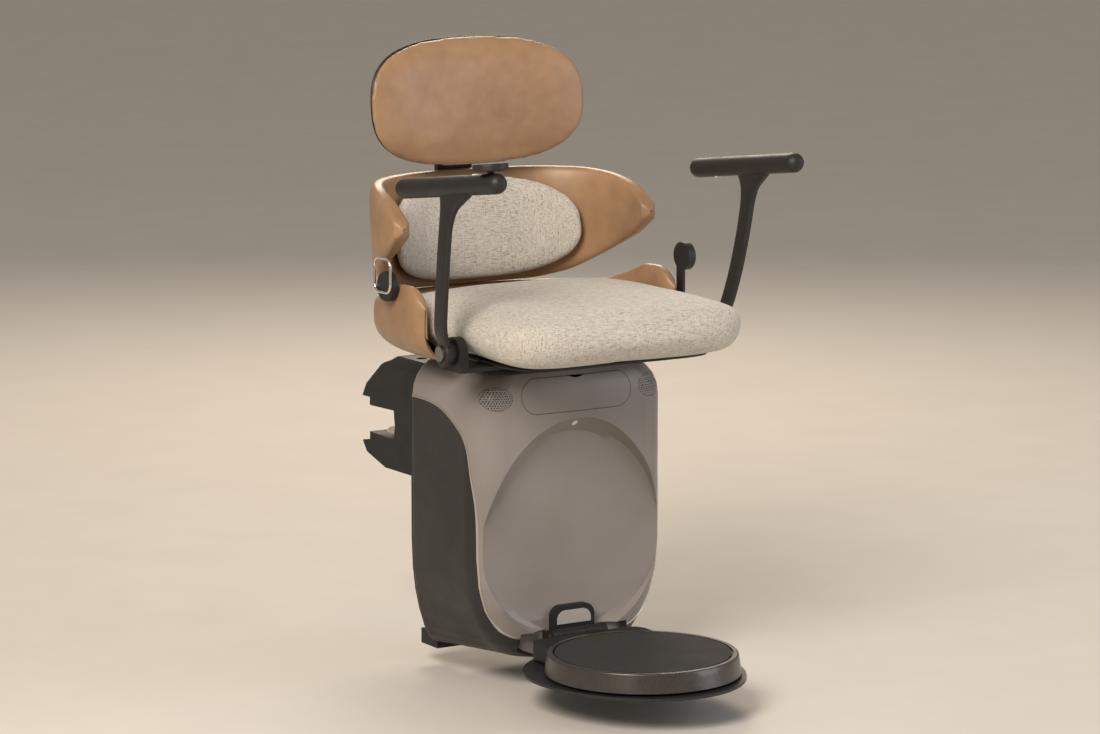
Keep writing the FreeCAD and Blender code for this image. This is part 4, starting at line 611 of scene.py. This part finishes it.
@dataclass(frozen=True)
class Pad:
    """A cushion made from a closed form in a plane of its own and inflated.

    Its points are (width * cos^p polar * cos^q turn, height * cos^p polar * sin^q turn, thickness * sin^p
    polar), with rows at even lengths along the rim's profile, which a mapping then bends into place.

    Args:
        name: The piece's name.
        key: The key of its finish.
        half_width: Half of its width, in metres.
        half_height: Half of its other length.
        thick: Its thickness before it swells.
        outline: The power of its outline.
        edge: The power of its rim.
        where: Maps (across, up, out) points to the row frame.
        cap: How far the swelling may move a point.
        fill: How full it is, 0 to 1; not used.
        rests_at: The height of what it rests on, below which it is flat.
        rows: Rings from its back to its front.
        ring: Points of one ring.
    """

    name: str
    key: str
    half_width: float
    half_height: float
    thick: float
    outline: float
    edge: float
    where: Mapping
    cap: float = 0.006
    fill: float = 0.8
    rests_at: float = -1.0
    rows: int = 90
    ring: int = 160

    def form(self) -> tuple[np.ndarray, np.ndarray]:
        """Makes the pad as it is before it swells.

        Returns:
            Its points and quads.
        """
        rows, ring = self.rows, self.ring
        fine = np.linspace(-1, 1, 4001)
        polar = np.sign(fine) * (1 - (1 - np.abs(fine)) ** 2.5) * QUARTER
        run_in, run_out = power(np.cos(polar), 2 / self.edge), power(np.sin(polar), 2 / self.edge)
        steps = np.hypot(np.diff(run_in * self.half_height), np.diff(run_out * self.thick / 2))
        length = np.concatenate([[0.0], np.cumsum(steps)])
        place = np.interp(np.linspace(0.012, 0.988, rows) * length[-1], length, np.arange(len(fine)))
        turn = circle(ring)
        reach = np.interp(place, np.arange(len(fine)), run_in)[:, None]
        out = np.interp(place, np.arange(len(fine)), run_out)[:, None] * np.ones(ring)
        across = self.half_width * reach * power(np.cos(turn), 2 / self.outline)[None, :]
        up = self.half_height * reach * power(np.sin(turn), 2 / self.outline)[None, :]
        flat = np.stack([across, up, out * self.thick / 2], -1)
        points = self.where(flat.reshape(-1, 3))
        return points, outward(points, capped_faces(rows, ring))

    def firm(self, shop: Workshop, slot: str, node: str) -> None:
        """Makes the form as a rigid piece of the seat, which replaces a node."""
        shop.settle(shop.mesh(self.name, *self.form(), self.key), "seat", slot, node)

    def make(self, shop: Workshop, slot: str, node: str) -> None:
        """Makes the form as an upholstered piece of the seat, swollen by its filling.

        Args:
            shop: The workshop that makes it.
            slot: Its material slot.
            node: The CAD node that it replaces.
        """
        obj = shop.mesh(self.name, *self.form(), self.key)
        inflate(obj, self.cap)
        shop.coat(obj, self.key)
        lift_to(obj, self.rests_at)
        obj.data.polygons.foreach_set("use_smooth", [True] * len(obj.data.polygons))
        shop.settle(obj, "seat", slot, node)


def lift_to(obj: bpy.types.Object, level: float) -> None:
    """Flattens what lies below a level onto it, where a cushion rests on its plate.

    Args:
        obj: The piece.
        level: The height, in metres.
    """
    points = np.zeros(len(obj.data.vertices) * 3)
    obj.data.vertices.foreach_get("co", points)
    points[2::3] = np.maximum(points[2::3], level)
    obj.data.vertices.foreach_set("co", points)
    obj.data.update()


EASING = 16
VOXEL = 0.0045
STIFFNESS = 90.0
BENDING = 20.0
PRESSURE = 4.0
LAST_FRAME = 20


def inflate(obj: bpy.types.Object, cap: float) -> None:
    """Swells a closed form with pressure in a cloth simulation of firm cloth, then eases its ripples.

    Args:
        obj: The piece, which is remeshed.
        cap: The most that a point may move, in metres.
    """
    apply_modifier(obj, "REMESH", mode="VOXEL", voxel_size=VOXEL)
    start = np.zeros(len(obj.data.vertices) * 3)
    obj.data.vertices.foreach_get("co", start)
    scene = bpy.context.scene
    cloth = obj.modifiers.new("cloth", "CLOTH")
    cloth.settings.quality = 5
    for stiffness in ("tension_stiffness", "compression_stiffness", "shear_stiffness"):
        setattr(cloth.settings, stiffness, STIFFNESS)
    cloth.settings.bending_stiffness = BENDING
    cloth.settings.use_pressure = True
    cloth.settings.uniform_pressure_force = PRESSURE
    cloth.settings.effector_weights.gravity = 0.0
    cloth.point_cache.frame_end = LAST_FRAME
    for frame in range(1, LAST_FRAME + 1):
        scene.frame_set(frame)
    graph = bpy.context.evaluated_depsgraph_get()
    shaped = np.zeros(len(start))
    obj.evaluated_get(graph).data.vertices.foreach_get("co", shaped)
    obj.modifiers.clear()
    move = (shaped - start).reshape(-1, 3)
    length = np.linalg.norm(move, axis=1, keepdims=True)
    move *= np.minimum(1.0, cap / np.maximum(length, 1e-9))
    obj.data.vertices.foreach_set("co", (start.reshape(-1, 3) + move).ravel())
    obj.data.update()
    scene.frame_set(1)
    apply_modifier(obj, "SMOOTH", factor=0.5, iterations=EASING)
    apply_modifier(obj, "SUBSURF", levels=1)


@dataclass(frozen=True)
class Curve:
    """A superellipse in plan that a shell follows, and that may lean back with height.

    Across it is (SHELL_HALF - inset) * sin^p angle, and behind the housing's front it is start + lean *
    (level - base) + (deep - inset) * cos^p angle.

    Args:
        exponent: The power p.
        start: How far behind the housing's front its two ends are, in millimetres.
        deep: How far its middle is behind its ends.
        lean: How far it goes back per unit of height.
        base: The height at which it starts as given.
    """

    exponent: float
    start: float
    deep: float
    lean: float = 0.0
    base: float = 0.0

    def behind(self, theta: np.ndarray, level: np.ndarray, inset: np.ndarray) -> np.ndarray:
        """How far behind the housing's front a point is, in millimetres."""
        leant = self.start + (level - self.base) * self.lean
        return leant + (self.deep - inset) * power(np.cos(theta * QUARTER), self.exponent)

    def point(self, theta: np.ndarray, level: np.ndarray, inset: np.ndarray) -> np.ndarray:
        """A point of the curve.

        Args:
            theta: Angle round the sitter, in quarter turns from -1 to 1.
            level: Height above the footrest, in millimetres.
            inset: How far inside the outer face, in millimetres.

        Returns:
            Points in the row frame.
        """
        x = (SHELL_HALF - inset) * power(np.sin(theta * QUARTER), self.exponent)
        return placed(x, self.behind(theta, level, inset), level)


BACK = Curve(0.8, 130, 215, LEAN, 560)
HIP = Curve(2 / 3, 70, 266)


def eased(at: np.ndarray, places: Sequence[float], values: Sequence[float], width: float) -> np.ndarray:
    """Interpolates between given values and rounds off the corners between them.

    Args:
        at: Where the result is wanted.
        places: Where the values are given, rising.
        values: The values there.
        width: How far the rounding reaches, in the units of the places.

    Returns:
        The eased values.
    """
    offsets = np.linspace(-2.5, 2.5, 31)
    weights = np.exp(-offsets ** 2 / 2)
    around = np.abs(np.asarray(at)[..., None] + offsets * width)
    return (np.interp(around, places, values) * weights).sum(-1) / weights.sum()


def shell_rows(count: int) -> np.ndarray:
    """Places round a shell that gather towards its two ends."""
    return np.sin(np.linspace(-QUARTER, QUARTER, count))


def closing(size: np.ndarray, start: float, least: float) -> np.ndarray:
    """A quarter of an ellipse that closes a shell towards its end.

    Args:
        size: The share of the way from its middle to its end.
        start: The share from which it closes.
        least: The least square of the result, so that no section vanishes.

    Returns:
        The share of the section's size that is left.
    """
    return np.sqrt(np.clip(1 - ((size - start) / (1 - start)).clip(0) ** 2, least, 1))


@dataclass
class LowerBack:
    """The leather shell round the sitter's lower back.

    Each row is a rounded section between a low and a high edge, which draw together at the two tips.

    Args:
        rows: Sections round the sitter.
        ring: Points of one section.
        wall: Half of the wall's thickness, in millimetres.
        middle: The height at which the tips close.
        tip: From which share of the way to the end the edges draw together.
        easing: How far the edges' corners are rounded, in quarter turns.
        edge_power: The power that rounds the upper and lower edge of a section.
        face_power: The power that flattens its two faces.
        low: Places in quarter turns, and the low edge's height there.
        high: Places in quarter turns, and the high edge's height there.
    """

    rows: int = 181
    ring: int = 64
    wall: float = 13.0
    middle: float = 590
    tip: float = 0.88
    easing: float = 0.05
    edge_power: float = 0.42
    face_power: float = 0.6
    low: tuple = ((0.0, 0.3, 0.5, 0.72, 0.9, 1.0), (474, 477, 490, 521, 550, 566))
    high: tuple = ((0.0, 0.6, 0.8, 0.93, 1.0), (648.5, 647.5, 641, 627, 616))

    def make(self, shop: Workshop) -> None:
        """Makes the shell.

        Args:
            shop: The workshop that makes it.
        """
        theta = shell_rows(self.rows) * 0.9995
        size = np.abs(theta)
        tip = closing(size, self.tip, 0.0004)
        low = self.middle - (self.middle - eased(size, *self.low, self.easing)) * tip
        high = self.middle + (eased(size, *self.high, self.easing) - self.middle) * tip
        turn = circle(self.ring)
        half = ((high - low) / 2)[:, None]
        level = ((high + low) / 2)[:, None] + half * power(np.sin(turn), self.edge_power)[None, :]
        wall = np.minimum(self.wall, half * 0.9)
        inset = self.wall - wall * power(np.cos(turn), self.face_power)[None, :]
        points = BACK.point(theta[:, None] * np.ones(self.ring), level, inset)
        faces = outward(points, capped_faces(self.rows, self.ring))
        shell = shop.mesh("lower_back_leather", points, faces, "hide")
        shop.settle(shell, "seat", "tan_leather", "lower_back_shell")


@dataclass
class HipShell:
    """The leather shell round the hips, which turns in under the seat on a quarter of an ellipse.

    Args:
        rows: Sections round the sitter.
        ring: Points of one section.
        wall: Half of the wall's thickness, in millimetres.
        bottom: The height of its lower edge.
        turn_level: The height below which it turns in.
        turn_high: The height of the turn.
        turn_deep: How far it turns in.
        tip: From which share of the way to the end the wall thins.
        easing: How far the top edge's corners are rounded, in millimetres.
        edge_power: The power that rounds the upper and lower edge of a section.
        face_power: The power that flattens its two faces.
        top: Places behind the housing's front, and the top edge's height there.
    """

    rows: int = 161
    ring: int = 72
    wall: float = 11.0
    bottom: float = 403.0
    turn_level: float = 447
    turn_high: float = 44
    turn_deep: float = 46
    tip: float = 0.985
    easing: float = 7.0
    edge_power: float = 0.5
    face_power: float = 0.6
    top: tuple = ((0, 60, 85, 110, 150, 200, 240, 300, 340), (458, 470, 500, 512, 511, 492, 479, 475, 474))

    def make(self, shop: Workshop) -> None:
        """Makes the shell.

        Args:
            shop: The workshop that makes it.
        """
        theta = shell_rows(self.rows)
        top = eased(HIP.behind(theta, 0.0, 0.0), *self.top, self.easing)
        turn = circle(self.ring)
        path = (power(np.sin(turn), self.edge_power)[None, :] + 1) / 2
        level = self.bottom + path * (top[:, None] - self.bottom)
        share = np.clip((self.turn_level - level) / self.turn_high, 0, 1)
        draw = self.turn_deep * (1 - np.sqrt(np.maximum(0, 1 - share ** 2)))
        close = closing(np.abs(theta), self.tip, 0.03)[:, None]
        inset = self.wall - self.wall * close * power(np.cos(turn), self.face_power)[None, :]
        points = HIP.point(theta[:, None] * np.ones(self.ring), level, inset + draw)
        shell = shop.mesh("hip_leather", points, outward(points, capped_faces(self.rows, self.ring)), "hide")
        shop.settle(shell, "seat", "tan_leather", "hip_shell")


def head_place(edge: float) -> Mapping:
    """A mapping for the headrest, whose front is hollowed by a parabola across its width.

    Args:
        edge: How far behind the housing's front the middle of the thickness is at the two ends.

    Returns:
        A function from (across, up, out) in metres to the row frame.
    """

    def where(flat: np.ndarray) -> np.ndarray:
        """Leans the flat form back and bows it."""
        across, up, out = flat[:, 0], flat[:, 1], flat[:, 2]
        depth = (edge + HEAD_BOW * (1 - (across / MM / HEAD_HALF) ** 2)) * MM + up * LEAN
        return np.stack([across, FRONT + depth - out, DECK + HEAD_MIDDLE * MM + up], -1)

    return where


def back_place(inset: float, centre: float) -> Mapping:
    """A mapping for a pad that follows the inside of the lower back shell.

    Args:
        inset: How far inside the shell's outer face its middle lies, in millimetres.
        centre: Height of its middle above the footrest.

    Returns:
        A function from (across, up, out) in metres to the row frame.
    """

    def where(flat: np.ndarray) -> np.ndarray:
        """Wraps the flat form round the shell's curve."""
        across, up, out = flat[:, 0] / MM, flat[:, 1] / MM, flat[:, 2] / MM
        sine = power(np.clip(across / (SHELL_HALF - inset), -1, 1), 1 / BACK.exponent)
        return BACK.point(np.arcsin(sine) / QUARTER, centre + up, inset + out)

    return where


@dataclass(frozen=True)
class SeatPlace:
    """Lays the seat cushion down: crowned above, bowed in front, wider in front and narrower beneath.

    The crown is the product of two parabolas to the power 0.7, and the bow is one parabola. Lengths are in
    metres.

    Args:
        half_x: Half of the width that the crown spans.
        half_y: Half of the length that it spans.
        crown: The height of the crown.
        bow: How far the front bulges.
        draw: How far the underside is drawn in.
        draw_over: Over what depth it is drawn in.
        flare: How much wider the front is, as a share.
        behind: How far its middle is behind the housing's front.
        level: The height of its middle above the footrest.
    """

    half_x: float = 0.197
    half_y: float = 0.196
    crown: float = 0.012
    bow: float = 0.008
    draw: float = 0.010
    draw_over: float = 0.03
    flare: float = 0.022
    behind: float = 0.030
    level: float = 0.4500

    def __call__(self, flat: np.ndarray) -> np.ndarray:
        """Maps points.

        Args:
            flat: Points (across, along, up) in metres.

        Returns:
            Points in the row frame.
        """
        across, along, out = flat[:, 0], flat[:, 1], flat[:, 2]
        side = (1 - (across / self.half_x) ** 2).clip(0)
        crown = side ** 0.7 * (1 - (along / self.half_y) ** 2).clip(0) ** 0.7
        bow = -self.bow * side * (along < 0) * (-along / self.half_y)
        under = np.clip(-out / self.draw_over, 0, 1) * self.draw
        x = across * (1 - under / self.half_x + self.flare * np.clip(-along / self.half_y, 0, 1))
        y = along * (1 - under / self.half_y) + bow
        z = out + np.where(out > 0, self.crown * crown, 0.0)
        return np.stack([x, FRONT + self.behind + y, DECK + self.level + z], -1)


PAN_BEHIND = 0.045
PAN_LEVEL = 0.413


def pan_place(flat: np.ndarray) -> np.ndarray:
    """Lays the seat's plate down under the cushion."""
    return np.stack([flat[:, 0], FRONT + PAN_BEHIND + flat[:, 1], DECK + PAN_LEVEL + flat[:, 2]], -1)


@dataclass
class Upholstery:
    """The headrest's shell, the seat's plate, and the three padded pieces."""

    head_shell: Pad = Pad("headrest_back", "panel", 0.1785, 0.0955, 0.011, 2.7, 4.0, head_place(291.5))
    pan: Pad = Pad("seat_pan", "powder", 0.168, 0.168, 0.006, 7.0, 10.0, pan_place)
    seat: Pad = Pad("seat_cushion_cover", "weave", 0.1965, 0.1945, 0.073, 8.0, 6.0, SeatPlace(), 0.003, 0.85,
                    DECK + 0.4168)
    back: Pad = Pad("lower_back_pad_cover", "weave", 0.159, 0.0785, 0.027, 2.7, 3.4, back_place(41.5, 561.5),
                    0.002, 0.8)
    head: Pad = Pad("headrest_leather", "hide", 0.186, 0.0980, 0.032, 2.7, 2.5, head_place(276.0), 0.002, 0.85)

    def make(self, shop: Workshop) -> None:
        """Makes the five pieces.

        Args:
            shop: The workshop that makes it.
        """
        self.head_shell.firm(shop, "panel_black", "headrest_shell")
        self.pan.firm(shop, "frame_black", "seat_plate")
        self.seat.make(shop, "seat_fabric", "seat_cushion")
        self.back.make(shop, "seat_fabric", "lower_back_pad")
        self.head.make(shop, "tan_leather", "headrest_cushion")


@dataclass
class Arm:
    """One arm as a single smooth moulding: an eye, a blade post and a round bar with ball ends.

    Args:
        side: -1 on the sitter's right and 1 on the left.
        front: Centre of the bar's front end: (aside, behind, level) in millimetres.
        back: Centre of its back end.
        pivot: The eye's centre: (behind, level).
        radius: Radius of the bar.
        ring: Points of one section.
        post: Stations up the post: (aside, behind, level, half width, half thickness).
        eye: Stations across the eye: (aside, radius).
    """

    side: int
    front: tuple[float, float, float] = (250, -184, 692)
    back: tuple[float, float, float] = (253, 63, 661)
    pivot: tuple[float, float] = (-12, 431)
    radius: float = 14.5
    ring: int = 40
    post: tuple = (
        (230.4, -14, 434, 11.0, 5.5), (236, -17, 446, 13.0, 5.5), (246, -22, 466, 14.0, 5.5),
        (252, -37, 520, 14.0, 5.5), (256, -50, 580, 14.0, 5.5), (257, -58, 622, 14.5, 5.5),
        (256, -64, 644, 19.0, 6.0), (254, -72, 658, 30.0, 7.5), (252, -76, 668, 40.0, 9.0),
        (251.5, -76, 676, 42.0, 8.0),
    )
    eye: tuple = ((221.4, 6.06), (221.4, 16.4), (223.0, 18.0), (237.8, 18.0), (239.4, 16.4), (239.4, 6.06))

    def bar_grid(self) -> np.ndarray:
        """The bar: circles along the line between the centres of its two ball ends."""
        mirror = np.array([self.side, 1.0, 1.0])
        front, back = self.front * mirror, self.back * mirror
        length = float(np.linalg.norm(back - front))
        run = (back - front) / length
        up = np.array([0, -run[2], run[1]]) / math.hypot(run[2], run[1])
        out = np.cross(run, up)
        turn = circle(self.ring)[None, :, None]
        ends = np.linspace(0, QUARTER, 9)
        along = np.concatenate([-self.radius * np.cos(ends), np.linspace(8, length - 8, 24),
                                length + self.radius * np.sin(ends)])
        radius = np.concatenate([self.radius * np.sin(ends), np.full(24, self.radius),
                                 self.radius * np.cos(ends)]).clip(0.05)
        round_it = np.cos(turn) * up + np.sin(turn) * out
        return front + along[:, None, None] * run + radius[:, None, None] * round_it

    def post_grid(self) -> np.ndarray:
        """The post: flat ovals at its stations, eased along its height."""
        knots = np.array(self.post) * (self.side, 1, 1, 1, 1)
        count = np.arange(len(knots))
        share = np.linspace(0, len(knots) - 1, 60)
        path = np.stack([np.interp(share, count, knots[:, k]) for k in range(5)], -1)
        kernel = np.ones(5) / 5
        for column in range(5):
            path[2:-2, column] = np.convolve(path[:, column], kernel, "valid")
        turn = circle(self.ring)
        aside, behind, level, wide, thin = (path[:, k, None] for k in range(5))
        return np.stack([aside + thin * power(np.cos(turn), 0.6), behind + wide * power(np.sin(turn), 0.75),
                         level * np.ones(self.ring)], -1)

    def eye_grid(self) -> np.ndarray:
        """The eye: circles round the pivot, whose last ring joins the first inside the bore."""
        aside, radius = (np.array(self.eye)[:, k, None] for k in range(2))
        turn = circle(self.ring)
        behind, level = self.pivot
        return np.stack([self.side * aside * np.ones(self.ring), behind + radius * np.cos(turn),
                         level + radius * np.sin(turn)], -1)

    def make(self, shop: Workshop) -> None:
        """Makes the three parts of the arm.

        Args:
            shop: The workshop that makes it.
        """
        name = "right" if self.side < 0 else "left"
        grids = (("bar", self.bar_grid()), ("post", self.post_grid()), ("eye", self.eye_grid()))
        for label, grid in grids:
            points = grid * MM + np.array([0, FRONT, DECK])
            rows = grid.shape[0]
            faces = ring_faces(rows, self.ring, True) if label == "eye" else capped_faces(rows, self.ring)
            part = shop.mesh("arm_%s_%s" % (name, label), points, outward(points, faces), "soft")
            stands_for = ("arm_frame_" + name,) if label == "bar" else ()
            shop.settle(part, "arm_" + name, "arm_black", *stands_for)


def stand(name: str, data: bpy.types.ID, at: Sequence[float], facing: Vector) -> bpy.types.Object:
    """Adds a light or camera at a place, looking in a direction.

    Args:
        name: Its name.
        data: The light or camera.
        at: Its place.
        facing: The direction that it faces.

    Returns:
        The object.
    """
    obj = bpy.data.objects.new(name, data)
    obj.location = at
    obj.rotation_mode = "QUATERNION"
    obj.rotation_quaternion = facing.to_track_quat("-Z", "Y")
    bpy.context.scene.collection.objects.link(obj)
    return obj


@dataclass(frozen=True)
class Lamp:
    """One soft area light.

    Args:
        name: Its name.
        at: Where it hangs.
        aim: The point that it faces.
        size: Its diameter, in metres.
        watts: Its power.
        colour: Its colour as sRGB hex.
    """

    name: str
    at: tuple[float, float, float]
    aim: tuple[float, float, float]
    size: float
    watts: float
    colour: str = "fff6ea"

    def hang(self) -> None:
        """Adds the light to the scene."""
        data = bpy.data.lights.new(self.name, "AREA")
        data.shape = "DISK"
        data.size = self.size
        data.energy = self.watts
        data.color = linear(self.colour)[:3]
        stand(self.name, data, self.at, Vector(self.aim) - Vector(self.at))


LAMPS = (
    Lamp("key", (-2.6, -2.2, 2.4), (0, -0.35, 0.2), 1.8, 135.0, "fff6ec"),
    Lamp("fill", (2.6, -2.6, 1.0), (0, -0.4, 0.1), 2.6, 34.0, "eef2ff"),
    Lamp("rim", (1.6, 2.4, 2.2), (0, -0.2, 0.3), 1.6, 60.0, "ffedd8"),
)


@dataclass
class Studio:
    """The floor, the lights, the world and the camera of the photo.

    Args:
        floor_level: Height of the floor, in metres.
        floor_half: Half of the floor's width.
        world_colour: The colour of the light from all round.
        world_strength: Its strength.
        eye: The camera's place.
        azimuth: The camera's direction round the object, in degrees.
        pitch: How far it looks down, in degrees.
        lens: Its focal length for a sensor 36 mm wide.
    """

    floor_level: float = -0.345
    floor_half: float = 60.0
    world_colour: str = "cfc9c0"
    world_strength: float = 0.55
    eye: tuple[float, float, float] = (-3.0950, -5.3029, 1.0734)
    azimuth: float = -31.93
    pitch: float = 9.24
    lens: float = 131.67

    def floor(self, shop: Workshop) -> None:
        """Lays the floor."""
        steps = np.linspace(-self.floor_half, self.floor_half, 3)
        across, run = np.meshgrid(steps, steps)
        grid = np.stack([across, run, np.full_like(run, self.floor_level)], -1)
        corner = np.array([[0, 1, 4, 3]])
        faces = np.vstack([corner + start for start in (0, 1, 3, 4)])
        shop.mesh("studio_floor", grid, faces, "floor")

    def camera(self) -> None:
        """Stands the camera where the photo was taken from."""
        data = bpy.data.cameras.new("photo_camera")
        data.sensor_width = 36.0
        data.lens = self.lens
        azimuth, pitch = math.radians(self.azimuth), math.radians(self.pitch)
        ahead = (-math.sin(azimuth) * math.cos(pitch), math.cos(azimuth) * math.cos(pitch), -math.sin(pitch))
        bpy.context.scene.camera = stand("photo_camera", data, self.eye, Vector(ahead))

    def make(self, shop: Workshop) -> None:
        """Sets up the studio.

        Args:
            shop: The workshop that makes it.
        """
        self.floor(shop)
        for lamp in LAMPS:
            lamp.hang()
        world = bpy.data.worlds.new("studio")
        world.use_nodes = True
        background = world.node_tree.nodes["Background"]
        background.inputs[0].default_value = linear(self.world_colour)
        background.inputs[1].default_value = self.world_strength
        bpy.context.scene.world = world
        bpy.context.scene.view_settings.view_transform = "Standard"
        self.camera()


def main() -> None:
    """Builds the sub-assemblies in order and reports each piece."""
    logging.basicConfig(level=logging.INFO)
    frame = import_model()
    shop = Workshop(frame)
    shop.dress_nodes()
    for part in (*MOULDINGS, LowerBack(), HipShell(), Upholstery(), Arm(-1), Arm(1), Studio()):
        part.make(shop)


if __name__ == "__main__":
    main()
